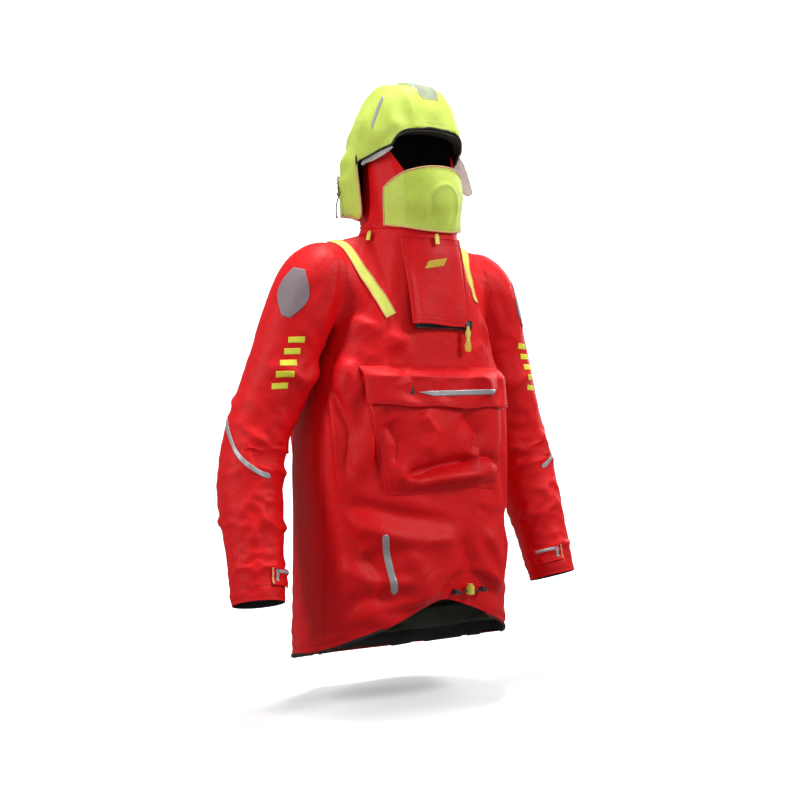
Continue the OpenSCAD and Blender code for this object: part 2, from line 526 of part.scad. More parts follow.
front_body_panel();
back_body_panel();
side_panel(-1);  // right_side_panel
side_panel(1);  // left_side_panel
collar_shell();
collar_lining();
hem_facing();
inner_waistband();
entry_zip_tape();
entry_zip_teeth();
pocket_bag();
pocket_closure_strip();
right_shoulder_tape();
left_shoulder_tape();
right_hip_stripe();
hanger_loop();
hem_eyelets();
hem_drawcord();
hem_cord_lock();
hem_lock_button();
upper_sleeve(-1);  // right_upper_sleeve
upper_sleeve(1);  // left_upper_sleeve
shoulder_patch(-1);  // right_shoulder_patch
shoulder_patch(1);  // left_shoulder_patch
sleeve_flash(-1);  // right_sleeve_flash
sleeve_flash(1);  // left_sleeve_flash
forearm_sleeve(-1);  // right_forearm_sleeve
forearm_sleeve(1);  // left_forearm_sleeve
elbow_gusset(-1);  // right_elbow_gusset
elbow_gusset(1);  // left_elbow_gusset
sleeve_stripe(-1);  // right_sleeve_stripe
sleeve_stripe(1);  // left_sleeve_stripe
wrist_seal(-1);  // right_wrist_seal
wrist_seal(1);  // left_wrist_seal
cuff_tab(-1);  // right_cuff_tab
cuff_tab(1);  // left_cuff_tab
cuff_reflector(-1);  // right_cuff_reflector
cuff_reflector(1);  // left_cuff_reflector
hood_centre_panel();
hood_side_panel(-1);  // hood_right_panel
hood_side_panel(1);  // hood_left_panel
hood_lining();
hood_rim_binding();
hood_crown_patch();
hood_right_flash();
side_window(-1);  // right_side_window
side_window(1);  // left_side_window
face_mask();
mask_vent();
storm_flap();
chest_emblem();
pocket_flap();
pocket_flap_stripe();
zip_slider();
zip_pull();
collar_toggle(toggle_side, side_n);  // right_collar_toggle
collar_toggle(toggle_front, front_n);  // front_collar_toggle
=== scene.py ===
import math

import bmesh
import bpy
import numpy as np
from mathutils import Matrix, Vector
from mathutils.bvhtree import BVHTree


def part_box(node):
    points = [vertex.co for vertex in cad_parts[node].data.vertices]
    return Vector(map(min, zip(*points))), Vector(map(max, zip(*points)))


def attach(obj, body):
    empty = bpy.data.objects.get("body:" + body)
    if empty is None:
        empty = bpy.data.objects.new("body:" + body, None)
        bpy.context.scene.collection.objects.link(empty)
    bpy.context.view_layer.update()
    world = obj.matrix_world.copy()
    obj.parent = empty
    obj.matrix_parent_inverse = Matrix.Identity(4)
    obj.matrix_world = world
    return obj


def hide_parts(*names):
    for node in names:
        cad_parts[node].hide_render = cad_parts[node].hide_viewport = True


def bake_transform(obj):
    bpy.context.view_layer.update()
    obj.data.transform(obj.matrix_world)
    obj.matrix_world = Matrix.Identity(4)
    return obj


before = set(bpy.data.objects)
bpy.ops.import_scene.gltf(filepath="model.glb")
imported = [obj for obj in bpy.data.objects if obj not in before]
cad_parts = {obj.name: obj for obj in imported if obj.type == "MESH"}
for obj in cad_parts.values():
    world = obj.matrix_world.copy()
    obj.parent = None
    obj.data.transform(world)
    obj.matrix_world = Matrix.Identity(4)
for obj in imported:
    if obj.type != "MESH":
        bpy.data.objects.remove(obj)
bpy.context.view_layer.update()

# Lengths are metres. Shapes are laid out about the body axis (+X the wearer's left, -Y the front,
# z 0 at the neck seam) and moved back by LOOP_Y, because the frame's origin is the hanger loop.
LOOP_Y = 0.062
BACK = np.array([0, LOOP_Y, 0])
RIGHT, LEFT = -1, 1
SIDE_NAME = {RIGHT: "right", LEFT: "left"}

# Sizes of the frame's body, repeated from the design
BACK_HEM, FRONT_HEM, PIT_Z = -0.817, -0.687, -0.175
NECK_W, NECK_D, NECK_Y = 0.088, 0.098, -0.028
NECK_FRONT_Z, NECK_BACK_Z = -0.012, 0.008
ARM_X, ARM_Z, HOLE_R = 0.165, -0.095, 0.067
SEAM_TH, NECK_SHARE = math.radians(16), 0.5
SHOULDER = np.array([0.195, 0.0, -0.095])
ELBOW = np.array([0.320, 0.022, -0.430])
WRIST = np.array([0.340, -0.055, -0.680])
HEAD_R, HEAD_LEN = 0.0695, 0.110

# ---- Camera, level with the middle of the jacket and turned towards its right side ----
VIEW_AZ, VIEW_DIST, VIEW_Z = math.radians(-35), 2.6, -0.323
TARGET = Vector((0, -LOOP_Y, VIEW_Z))
camera_data = bpy.data.cameras.new("camera")
camera_data.lens, camera_data.sensor_width, camera_data.clip_end = 60.8, 36, 50
camera = bpy.data.objects.new("camera", camera_data)
bpy.context.scene.collection.objects.link(camera)
camera.location = TARGET + Vector((math.sin(VIEW_AZ), -math.cos(VIEW_AZ), 0)) * VIEW_DIST
camera.rotation_euler = (TARGET - camera.location).to_track_quat("-Z", "Y").to_euler()
bpy.context.scene.camera = camera


# ---- Numbers and grids ----
def lerp(a, b, t):
    return a + (b - a) * t


def smooth(t):
    t = np.clip(t, 0, 1)
    return t * t * (3 - 2 * t)


def bell(x, width):
    return np.exp(-(np.asarray(x) / width) ** 2)


def curve(keys, x):
    """A smooth curve through (x, value, ...) keys, flat beyond the ends."""
    keys = np.array(keys, float)
    k, v = keys[:, 0], keys[:, 1:]
    x = np.clip(np.asarray(x, float), k[0], k[-1])
    slope = np.gradient(v, k, axis=0)
    i = np.clip(np.searchsorted(k, x, side="right") - 1, 0, len(k) - 2)
    h = (k[i + 1] - k[i])[..., None]
    t = ((x - k[i])[..., None]) / h
    out = ((2 * t**3 - 3 * t**2 + 1) * v[i] + (t**3 - 2 * t**2 + t) * h * slope[i]
           + (-2 * t**3 + 3 * t**2) * v[i + 1] + (t**3 - t**2) * h * slope[i + 1])
    return out[..., 0] if out.shape[-1] == 1 else out


def unit(v):
    v = np.asarray(v, float)
    return v / np.maximum(np.linalg.norm(v, axis=-1, keepdims=True), 1e-12)


def mirror(p, side):
    """Points drawn for the wearer's left, or their mirror image on the right."""
    return p * np.array([side, 1, 1])


def grid_normals(g, wrap=False):
    """Outward normals of a grid: columns run counter-clockwise from above, rows run up."""
    du = np.roll(g, -1, 1) - np.roll(g, 1, 1) if wrap else np.gradient(g, axis=1)
    return unit(np.cross(du, np.gradient(g, axis=0)))


def new_mesh(name, points, faces, materials, face_mats=None):
    mesh = bpy.data.meshes.new(name)
    mesh.from_pydata((np.asarray(points, float) - BACK).tolist(), [], [tuple(map(int, f)) for f in faces])
    for m in materials:
        mesh.materials.append(m)
    if face_mats is not None:
        mesh.polygons.foreach_set("material_index", np.asarray(face_mats, np.int32))
    mesh.polygons.foreach_set("use_smooth", [True] * len(mesh.polygons))
    obj = bpy.data.objects.new(name, mesh)
    bpy.context.scene.collection.objects.link(obj)
    return obj


def grid_faces(rows, cols, wrap=False, start=0):
    faces = []
    for i in range(rows - 1):
        low, high = start + i * cols, start + (i + 1) * cols
        for j in range(cols if wrap else cols - 1):
            k = (j + 1) % cols
            faces.append((low + j, low + k, high + k, high + j))
    return faces


def thick_sheet(name, g, t, outer, inner=None, wrap=False, rim=0.0):
    """Closed cloth: g is the outer face and t the thickness. rim rounds the edge outward a little."""
    rows, cols = g.shape[:2]
    count, last = rows * cols, (rows - 1) * cols
    n = grid_normals(g, wrap)
    mid = g - n * t * 0.5
    if rim:
        du, dv = unit(np.gradient(mid, axis=1)), unit(np.gradient(mid, axis=0))
        push = np.zeros_like(g)
        push[0] -= dv[0] * rim
        push[-1] += dv[-1] * rim
        push[:, 0] -= du[:, 0] * rim
        push[:, -1] += du[:, -1] * rim
        mid = mid + push
    if wrap:
        loops = [list(range(cols)), [last + (-j) % cols for j in range(cols)]]
    else:
        loops = [list(range(cols - 1)) + [i * cols + cols - 1 for i in range(rows - 1)]
                 + [last + j for j in range(cols - 1, 0, -1)] + [i * cols for i in range(rows - 1, 0, -1)]]
    faces = grid_faces(rows, cols, wrap)
    inner_faces = [(a + count, d + count, c + count, b + count) for a, b, c, d in faces]
    edge_faces, base = [], 2 * count
    for loop in loops:
        for k, a in enumerate(loop):
            m = (k + 1) % len(loop)
            edge_faces.append((loop[m], a, base + k, base + m))
            edge_faces.append((base + m, base + k, a + count, loop[m] + count))
        base += len(loop)
    back, edge = g - n * t, mid.reshape(-1, 3)[sum(loops, [])]
    points = np.concatenate([g.reshape(-1, 3), back.reshape(-1, 3), edge])
    slots = [0] * len(faces) + [1 if inner else 0] * len(faces) + [0] * len(edge_faces)
    materials = [outer] + ([inner] if inner else [])
    return new_mesh(name, points, faces + inner_faces + edge_faces, materials, slots)


def tube(name, path, radius, sides, material, closed=False, flat=1.0):
    """A cord or piping along a path; flat below 1 makes it a flat cord."""
    path = np.asarray(path, float)
    n, last = len(path), (len(path) - 1) * sides
    d = unit(np.roll(path, -1, 0) - np.roll(path, 1, 0) if closed else np.gradient(path, axis=0))
    side = np.zeros_like(path)
    ref = np.cross(d[0], [0.0, 0.0, 1.0])
    ref = ref if np.linalg.norm(ref) > 0.2 else np.cross(d[0], [1.0, 0.0, 0.0])
    for i in range(n):
        ref = unit(ref - d[i] * np.dot(ref, d[i]))
        side[i] = ref
    up = np.cross(d, side)
    a = (np.arange(sides) * 2 * math.pi / sides)[None, :, None]
    rings = path[:, None] + radius * (np.cos(a) * side[:, None] + flat * np.sin(a) * up[:, None])
    faces = grid_faces(n, sides, wrap=True)
    if closed:
        faces += [(last + k, last + (k + 1) % sides, (k + 1) % sides, k) for k in range(sides)]
    else:
        faces += [tuple(range(sides - 1, -1, -1)), tuple(range(last, last + sides))]
    return new_mesh(name, rings.reshape(-1, 3), faces, [material])


def circle(centre, radius, across, up, count):
    a = np.linspace(0, 2 * math.pi, count, endpoint=False)[:, None]
    return centre + radius * (np.cos(a) * across + np.sin(a) * up)


def resample(path, step):
    path = np.asarray(path, float)
    length = np.concatenate([[0], np.cumsum(np.linalg.norm(np.diff(path, axis=0), axis=1))])
    s = np.linspace(0, length[-1], max(2, int(round(length[-1] / step)) + 1))
    return np.stack([np.interp(s, length, path[:, k]) for k in range(3)], 1)


def join(name, objs):
    """Joins meshes, which share their first object's data name."""
    bpy.ops.object.select_all(action="DESELECT")
    for o in objs:
        o.select_set(True)
    bpy.context.view_layer.objects.active = objs[0]
    bpy.ops.object.join()
    objs[0].name = name
    return objs[0]


# ---- Materials ----
def node_material(name):
    """An empty Principled material, with the coordinates of the piece it is on."""
    mat = bpy.data.materials.new(name)
    mat.use_nodes = True
    tree = mat.node_tree
    tree.nodes.clear()
    out = tree.nodes.new("ShaderNodeOutputMaterial")
    shader = tree.nodes.new("ShaderNodeBsdfPrincipled")
    tree.links.new(shader.outputs[0], out.inputs[0])
    return mat, tree, shader, tree.nodes.new("ShaderNodeTexCoord").outputs["Object"]


def set_values(node, **values):
    """Sets a node's inputs; an underscore stands for the space in a socket's name."""
    for name, value in values.items():
        node.inputs[name.replace("_", " ")].default_value = value


def noise(tree, coords, scale, detail=3.0, rough=0.55, distortion=0.0):
    n = tree.nodes.new("ShaderNodeTexNoise")
    set_values(n, Scale=scale, Detail=detail, Roughness=rough, Distortion=distortion)
    tree.links.new(coords, n.inputs["Vector"])
    return n.outputs["Fac"]


def bands(tree, coords, scale, direction):
    w = tree.nodes.new("ShaderNodeTexWave")
    w.bands_direction = direction
    set_values(w, Scale=scale, Distortion=0.4, Detail=1.0)
    tree.links.new(coords, w.inputs["Vector"])
    return w.outputs["Fac"]


def math_node(tree, op, a, b):
    m = tree.nodes.new("ShaderNodeMath")
    m.operation = op
    for socket, value in zip(m.inputs, (a, b)):
        if isinstance(value, (int, float)):
            socket.default_value = value
        else:
            tree.links.new(value, socket)
    return m.outputs[0]


def ramp(tree, fac, stops):
    r = tree.nodes.new("ShaderNodeValToRGB")
    while len(r.color_ramp.elements) < len(stops):
        r.color_ramp.elements.new(0.5)
    for e, (pos, colour) in zip(r.color_ramp.elements, stops):
        e.position = pos
        e.color = (*colour, 1)
    tree.links.new(fac, r.inputs[0])
    return r.outputs[0]


def bump(tree, height, strength, distance, under=None):
    b = tree.nodes.new("ShaderNodeBump")
    set_values(b, Strength=strength, Distance=distance)
    tree.links.new(height, b.inputs["Height"])
    if under is not None:
        tree.links.new(under, b.inputs["Normal"])
    return b.outputs[0]


def tint(colour, k):
    return tuple(max(0.0, min(1.0, c * k)) for c in colour)


def mottled(tree, fac, colour, low, high, shader):
    """Base colour that varies between two tints."""
    tree.links.new(ramp(tree, fac, [(0.3, tint(colour, low)), (0.7, tint(colour, high))]),
                   shader.inputs["Base Color"])


def cloth_material(name, colour, rough=0.55, weave=900.0, weave_bump=0.25, crinkle=0.35,
                   vary=0.16, sheen=0.15, sheen_tint=None, spec=0.4):
    """Woven cloth: warp and weft bands, mottled colour, fine crinkles and rubbed patches."""
    mat, tree, shader, coords = node_material(name)
    warp, weft = bands(tree, coords, weave, "DIAGONAL"), bands(tree, coords, weave, "Z")
    thread = math_node(tree, "MULTIPLY", warp, weft)
    mottle = noise(tree, coords, 9.0, 4.0, 0.6)
    fine = noise(tree, coords, 140.0, 2.0)
    tone = math_node(tree, "ADD", math_node(tree, "MULTIPLY", mottle, 0.7),
                     math_node(tree, "MULTIPLY", fine, 0.3))
    mottled(tree, tone, colour, 1 - vary, 1 + vary * 0.5, shader)
    worn = math_node(tree, "MULTIPLY_ADD", mottle, 0.22)
    worn.node.inputs[2].default_value = rough - 0.11
    tree.links.new(worn, shader.inputs["Roughness"])
    set_values(shader, Specular_IOR_Level=spec, Sheen_Weight=sheen, Sheen_Roughness=0.45,
               Sheen_Tint=(*(sheen_tint or tint(colour, 1.4)), 1))
    soft = bump(tree, noise(tree, coords, 42.0, 4.0, 0.62, 0.6), crinkle, 0.004)
    tree.links.new(bump(tree, thread, weave_bump, 0.0004, soft), shader.inputs["Normal"])
    return mat


def reflective_material(name, colour):
    """Retroreflective film: a fine bead grain under a slight gloss."""
    mat, tree, shader, coords = node_material(name)
    cells = tree.nodes.new("ShaderNodeTexVoronoi")
    set_values(cells, Scale=700.0)
    tree.links.new(coords, cells.inputs["Vector"])
    mottled(tree, noise(tree, coords, 30.0), colour, 0.86, 1.06, shader)
    set_values(shader, Metallic=0.35, Roughness=0.42)
    tree.links.new(bump(tree, cells.outputs["Distance"], 0.3, 0.0005), shader.inputs["Normal"])
    return mat


def moulded_material(name, colour, rough=0.4, metallic=0.0, grain=260.0):
    """Moulded plastic or cast metal with a fine grain."""
    mat, tree, shader, coords = node_material(name)
    mottled(tree, noise(tree, coords, 35.0, 2.0), colour, 0.88, 1.05, shader)
    set_values(shader, Roughness=rough, Metallic=metallic)
    tree.links.new(bump(tree, noise(tree, coords, grain, 2.0), 0.15, 0.0006), shader.inputs["Normal"])
    return mat


def film_material(name):
    """Cloudy flexible window film."""
    mat, tree, shader, coords = node_material(name)
    haze = noise(tree, coords, 60.0)
    tree.links.new(ramp(tree, haze, [(0.3, (0.62, 0.66, 0.62)), (0.7, (0.80, 0.83, 0.80))]),
                   shader.inputs["Base Color"])
    set_values(shader, Roughness=0.25, Alpha=0.55)
    tree.links.new(bump(tree, haze, 0.2, 0.001), shader.inputs["Normal"])
    return mat


RED = cloth_material("shell_red_cloth", (0.72, 0.001, 0.004), rough=0.56, sheen=0.04, weave_bump=0.06,
                     crinkle=0.42, sheen_tint=(1.0, 0.1, 0.1), spec=0.24)
RED_THREAD = cloth_material("red_stitching", (0.42, 0.003, 0.012), weave=1500.0, sheen=0.0)
FLASH = cloth_material("flash_yellow_print", (0.80, 0.78, 0.05), weave=1200.0)
LIME = cloth_material("shell_lime_cloth", (0.62, 0.77, 0.10), rough=0.55, sheen=0.12, crinkle=0.28,
                      sheen_tint=(0.95, 1.0, 0.6))
LIME_PALE = cloth_material("lime_piping", (0.80, 0.83, 0.42), weave=1400.0, crinkle=0.15)
TAPE_YELLOW = cloth_material("tape_yellow", (0.80, 0.84, 0.14), weave=1100.0, crinkle=0.15)
ORANGE_EDGE = cloth_material("tape_orange_edge", (0.85, 0.42, 0.20), weave=1400.0, crinkle=0.1)
LINING = cloth_material("lining_black_cloth", (0.011, 0.011, 0.013), rough=0.7, weave=700.0,
                        sheen=0.05, vary=0.3)
BINDING = cloth_material("dark_binding", (0.035, 0.038, 0.025), rough=0.65, weave=900.0, vary=0.3)
SEAL = cloth_material("seal_black_stretch", (0.016, 0.016, 0.018), rough=0.5, weave=1600.0, sheen=0.0)
PATCH = cloth_material("grey_patch_cloth", (0.26, 0.20, 0.22), rough=0.5, weave=1100.0, sheen=0.1)
SILVER = reflective_material("silver_reflective", (0.42, 0.41, 0.43))
SILVER_GREEN = reflective_material("silver_crown_patch", (0.46, 0.52, 0.36))
TOGGLE_THREAD = cloth_material("emblem_yellow_thread", (0.80, 0.55, 0.05), weave=1600.0, weave_bump=0.6)
TOGGLE = moulded_material("moulded_yellow", (0.80, 0.72, 0.10), 0.42)
PULL = moulded_material("moulded_pull", (0.84, 0.74, 0.12), 0.38)
PULL_TIP = moulded_material("moulded_pull_tip", (0.80, 0.45, 0.03), 0.4)
HARDWARE = moulded_material("dark_hardware", (0.03, 0.03, 0.034), 0.35)
ZIP_METAL = moulded_material("zip_slider_metal", (0.22, 0.22, 0.24), 0.3, 0.8, 400.0)
FILM = film_material("clear_window_film")


# ---- Shape of the body and sleeves ----
HALF_W = [(BACK_HEM, 0.213), (-0.6, 0.213), (-0.33, 0.208), (-0.25, 0.190), (-0.2, 0.172), (PIT_Z, ARM_X)]
FRONT_D = [(BACK_HEM, 0.140), (-0.6, 0.141), (-0.43, 0.143), (-0.33, 0.141), (-0.25, 0.140), (PIT_Z, 0.137)]
BACK_D = [(BACK_HEM, 0.140), (-0.6, 0.135), (-0.4, 0.128), (-0.25, 0.120), (PIT_Z, 0.112)]
CORNER_N = [(BACK_HEM, 2.6), (-0.33, 2.6), (-0.25, 2.5), (PIT_Z, 2.3)]


def spow(v, e):
    return np.sign(v) * np.abs(v) ** e


def front_y(x, z):
    """Front of the body before it is folded and draped."""
    n = curve(CORNER_N, z)
    return -curve(FRONT_D, z) * (1 - np.clip(np.abs(x) / curve(HALF_W, z), 0, 1) ** n) ** (1 / n)


def torso_pt(th, z, out=0.0):
    th, z = np.broadcast_arrays(np.asarray(th, float), np.asarray(z, float))
    n = curve(CORNER_N, z)
    depth = np.where(th < 0, curve(FRONT_D, z), curve(BACK_D, z))
    return np.stack([(curve(HALF_W, z) + out) * spow(np.cos(th), 2 / n),
                     (depth + out) * spow(np.sin(th), 2 / n), z], -1)


def hem_z(th):
    return FRONT_HEM + (BACK_HEM - FRONT_HEM) * ((1 + np.sin(th)) / 2) ** 0.4


def neck_z(s):
    return lerp(NECK_FRONT_Z, NECK_BACK_Z, (1 + s) / 2)


def yoke_low(h, face):
    return torso_pt(face * (math.pi / 2 - (math.pi / 2 - SEAM_TH) * h), PIT_Z)


def yoke_top(h, face):
    h = np.asarray(h, float)
    a = np.abs(h)
    side = np.where(h < 0, -1.0, 1.0)
    phi = math.pi / 2 * np.minimum(a / NECK_SHARE, 1)
    neck = np.stack([side * NECK_W * np.sin(phi), NECK_Y + face * NECK_D * np.cos(phi),
                     neck_z(face * np.cos(phi))], -1)
    t = np.clip((a - NECK_SHARE) / (1 - NECK_SHARE), 0, 1)[..., None]
    base = np.stack([side * NECK_W, np.full_like(a, NECK_Y), np.full_like(a, neck_z(0))], -1)
    tip = np.stack([side * ARM_X, np.zeros_like(a), np.full_like(a, ARM_Z + HOLE_R)], -1)
    return np.where((a < NECK_SHARE)[..., None], neck, lerp(base, tip, t))


def hole_edge(side, face, v):
    low = yoke_low(side, face)
    start = -math.acos(abs(low[1]) / HOLE_R)
    ang = lerp(start, math.pi / 2, v)
    circle = np.stack([side * ARM_X + 0 * v, face * HOLE_R * np.cos(ang), ARM_Z + HOLE_R * np.sin(ang)], -1)
    return lerp(low, circle, np.minimum(1, 6 * v)[..., None])


def yoke_pt(h, v, face):
    h, v = np.broadcast_arrays(np.asarray(h, float), np.asarray(v, float))
    a = np.abs(h)
    side = np.where(h < 0, -1.0, 1.0)
    plain = lerp(yoke_low(h, face), yoke_top(h, face), v[..., None])
    fix = np.zeros_like(plain)
    for s in (-1.0, 1.0):
        f = hole_edge(s, face, v) - lerp(yoke_low(s, face), yoke_top(s, face), v[..., None])
        fix = np.where((side == s)[..., None], f, fix)
    rise, hold = (0.004, 4) if face < 0 else (0.016, 2.5)      # fullness of chest or back, armhole's pull
    swell = face * rise * 4 * v * (1 - v) * (1 - a * a)
    return plain + fix * (a**hold)[..., None] + np.stack([0 * swell, swell, 0 * swell], -1)


ARM_D = unit(ELBOW - SHOULDER)
FORE_D = unit(WRIST - ELBOW)
ARM_LEN = float(np.linalg.norm(ELBOW - SHOULDER))
FORE_LEN = float(np.linalg.norm(WRIST - ELBOW))
SLEEVE_LEN = ARM_LEN + FORE_LEN
SLEEVE_R = [(0, 0.0695), (0.12, 0.066), (0.25, 0.0605), (0.34, 0.0600), (0.42, 0.0600), (0.52, 0.0530),
            (0.58, 0.0495), (SLEEVE_LEN, 0.0470)]
ELBOW_SOFT = 0.07


def sleeve_axis(l):
    """Middle of the sleeve and its direction at a distance l from the shoulder."""
    l = np.asarray(l, float)
    over = l - ARM_LEN
    t = np.clip((over + ELBOW_SOFT) / (2 * ELBOW_SOFT), 0, 1)
    turned = ELBOW_SOFT * t * t
    first = SHOULDER + (np.where(over > ELBOW_SOFT, ARM_LEN, l - turned))[..., None] * ARM_D
    second = np.where(over > ELBOW_SOFT, over, turned)[..., None] * FORE_D
    return first + second, unit(lerp(ARM_D, FORE_D, t[..., None]))


def sleeve_frame(d):
    e1 = unit(np.array([1.0, 0, 0]) - d[..., :1] * d)
    return e1, np.cross(-d, e1)


def clear_of_body(p):
    side = np.where(p[..., 2] < ARM_Z, curve(HALF_W, np.minimum(p[..., 2], PIT_Z)) + 0.006, ARM_X + 0.003)
    p = p.copy()
    p[..., 0] = np.maximum(p[..., 0], side)
    return p


def sleeve_pt(psi, l):
    """psi 0 is the outer side of the sleeve, +90 degrees its back."""
    psi, l = np.broadcast_arrays(np.asarray(psi, float), np.asarray(l, float))
    c, d = sleeve_axis(l)
    e1, e2 = sleeve_frame(d)
    r = curve(SLEEVE_R, l)[..., None]
    return clear_of_body(c + r * (np.cos(psi)[..., None] * e1 + np.sin(psi)[..., None] * e2))


def head_pt(psi, s, start):
    """Rounded head of the sleeve: s 0 is the ring at HEAD_LEN and s 1 the armhole point start."""
    p = lerp(sleeve_pt(psi, HEAD_LEN), start, s) - SHOULDER
    l = p @ ARM_D
    across = p - l[..., None] * ARM_D
    r = curve(SLEEVE_R, np.maximum(l, 0))
    ball = np.where((np.linalg.norm(p, axis=-1) < HEAD_R)[..., None], HEAD_R * unit(p), p)
    side = np.where((np.linalg.norm(across, axis=-1) < r)[..., None],
                    l[..., None] * ARM_D + r[..., None] * unit(across), p)
    return clear_of_body(SHOULDER + np.where((l < 0)[..., None], ball, side))


# ---- Main folds of the cloth ----
# Each fold runs through three (x, z) places, and then has its width and its height, which is
# negative for a valley. FRONT_FOLDS act on cloth that faces forward.
FRONT_FOLDS = [
    ((-0.205, -0.485), (-0.10, -0.515), (0.02, -0.535), 0.017, -0.012),
    ((-0.20, -0.515), (-0.09, -0.550), (0.05, -0.565), 0.020, 0.011),
    ((-0.20, -0.26), (-0.17, -0.36), (-0.19, -0.47), 0.014, -0.012),
    ((-0.185, -0.22), (-0.145, -0.33), (-0.155, -0.46), 0.018, 0.010),
    ((-0.17, -0.20), (-0.12, -0.23), (-0.06, -0.245), 0.013, -0.007),
    ((-0.165, -0.16), (-0.115, -0.20), (-0.07, -0.215), 0.014, 0.007),
    ((0.19, -0.22), (0.15, -0.30), (0.165, -0.45), 0.016, -0.010),
    ((0.165, -0.20), (0.10, -0.225), (0.05, -0.235), 0.013, -0.006),
    ((-0.16, -0.56), (-0.12, -0.64), (-0.14, -0.70), 0.020, -0.009),
    ((-0.09, -0.56), (-0.05, -0.63), (-0.06, -0.69), 0.024, 0.010),
    ((0.03, -0.55), (0.06, -0.61), (0.04, -0.68), 0.022, -0.009),
    ((0.10, -0.54), (0.13, -0.60), (0.12, -0.68), 0.024, 0.009),
    ((0.20, -0.50), (0.17, -0.58), (0.18, -0.70), 0.018, -0.010),
    ((-0.17, -0.02), (-0.15, -0.09), (-0.16, -0.16), 0.014, -0.006),
    ((0.150, -0.05), (0.135, -0.14), (0.150, -0.235), 0.010, -0.006),
    ((0.125, -0.06), (0.110, -0.15), (0.130, -0.245), 0.010, 0.005),
    ((0.085, -0.205), (0.10, -0.235), (0.145, -0.255), 0.009, -0.005),
    ((-0.075, -0.205), (-0.10, -0.225), (-0.155, -0.250), 0.010, 0.006),
    ((-0.125, -0.07), (-0.105, -0.16), (-0.120, -0.235), 0.011, -0.006),
    ((-0.20, -0.595), (-0.15, -0.625), (-0.06, -0.640), 0.015, 0.007),
    ((-0.19, -0.655), (-0.13, -0.660), (-0.05, -0.650), 0.012, -0.006),
    ((0.06, -0.50), (0.12, -0.525), (0.185, -0.515), 0.013, -0.008),
]
BACK_FOLDS = [
    ((-0.17, -0.16), (-0.10, -0.24), (0.0, -0.28), 0.022, -0.010),
    ((0.17, -0.16), (0.10, -0.24), (0.0, -0.28), 0.022, -0.010),
    ((-0.19, -0.30), (-0.12, -0.42), (-0.15, -0.56), 0.026, 0.012),
    ((0.19, -0.30), (0.12, -0.42), (0.15, -0.56), 0.026, 0.012),
    ((-0.20, -0.48), (-0.08, -0.52), (0.05, -0.50), 0.020, -0.010),
    ((0.20, -0.52), (0.08, -0.57), (-0.06, -0.55), 0.020, -0.010),
    ((-0.10, -0.60), (-0.07, -0.70), (-0.09, -0.80), 0.028, 0.011),
    ((0.07, -0.60), (0.10, -0.70), (0.08, -0.80), 0.028, 0.011),
    ((0.0, -0.30), (-0.02, -0.42), (0.01, -0.50), 0.024, -0.007),
]
# A sleeve's folds run through (angle in degrees, distance from the shoulder) places
ARM_FOLDS = [
    ((-150, 0.10), (-95, 0.13), (-40, 0.10), 0.014, -0.008),
    ((-160, 0.15), (-100, 0.185), (-50, 0.17), 0.015, 0.007),
    ((-165, 0.25), (-110, 0.285), (-50, 0.27), 0.013, -0.007),
    ((-170, 0.30), (-110, 0.320), (-30, 0.30), 0.012, 0.008),
    ((-175, 0.335), (-100, 0.352), (-20, 0.335), 0.010, -0.011),
    ((-170, 0.375), (-105, 0.385), (-30, 0.375), 0.012, 0.008),
    ((-160, 0.42), (-100, 0.410), (-30, 0.430), 0.011, -0.008),
    ((-170, 0.47), (-120, 0.490), (-60, 0.465), 0.013, 0.006),
    ((-150, 0.51), (-90, 0.525), (-10, 0.505), 0.012, -0.006),
    ((-120, 0.555), (-60, 0.565), (0, 0.55), 0.013, 0.004),
    ((20, 0.12), (80, 0.17), (150, 0.15), 0.018, -0.007),
    ((30, 0.24), (90, 0.27), (160, 0.25), 0.016, 0.006),
    ((0, 0.33), (80, 0.36), (160, 0.34), 0.018, -0.006),
    ((20, 0.45), (90, 0.47), (160, 0.46), 0.016, 0.005),
]
FOLD_GAIN = 2.1              # all folds stand this much higher than their listed height


def fold_height(x, z, folds):
    """Summed height of bent fold lines at places (x, z)."""
    total = np.zeros_like(x)
    for a, m, b, width, height in folds:
        best, where = np.full_like(x, 9.0), np.zeros_like(x)
        for k, (p, q) in enumerate(((a, m), (m, b))):
            seg = np.subtract(q, p)
            t = np.clip(((x - p[0]) * seg[0] + (z - p[1]) * seg[1]) / (seg @ seg), 0, 1)
            dist = np.hypot(x - p[0] - t * seg[0], z - p[1] - t * seg[1])
            where = np.where(dist < best, (k + t) / 2, where)
            best = np.minimum(best, dist)
        ends = smooth(where / 0.18) * smooth((1 - where) / 0.25)
        total += FOLD_GAIN * height * np.exp(-(best / (0.8 * width)) ** 1.35) * ends
    return total


# ---- The sewn garment: one welded net of body and sleeves ----
FRONT_COLS, SIDE_COLS, LOW_ROWS, YOKE_ROWS = 56, 12, 58, 16
HEAD_ROWS, SLEEVE_ROWS = 12, 58
REGION_BODY, REGION_SHOULDER, REGION_ARM = 0, 1, 2      # plus 2 for the left sleeve's regions
SPLIT_L = 0.27                                          # the arm cloth starts here along the sleeve


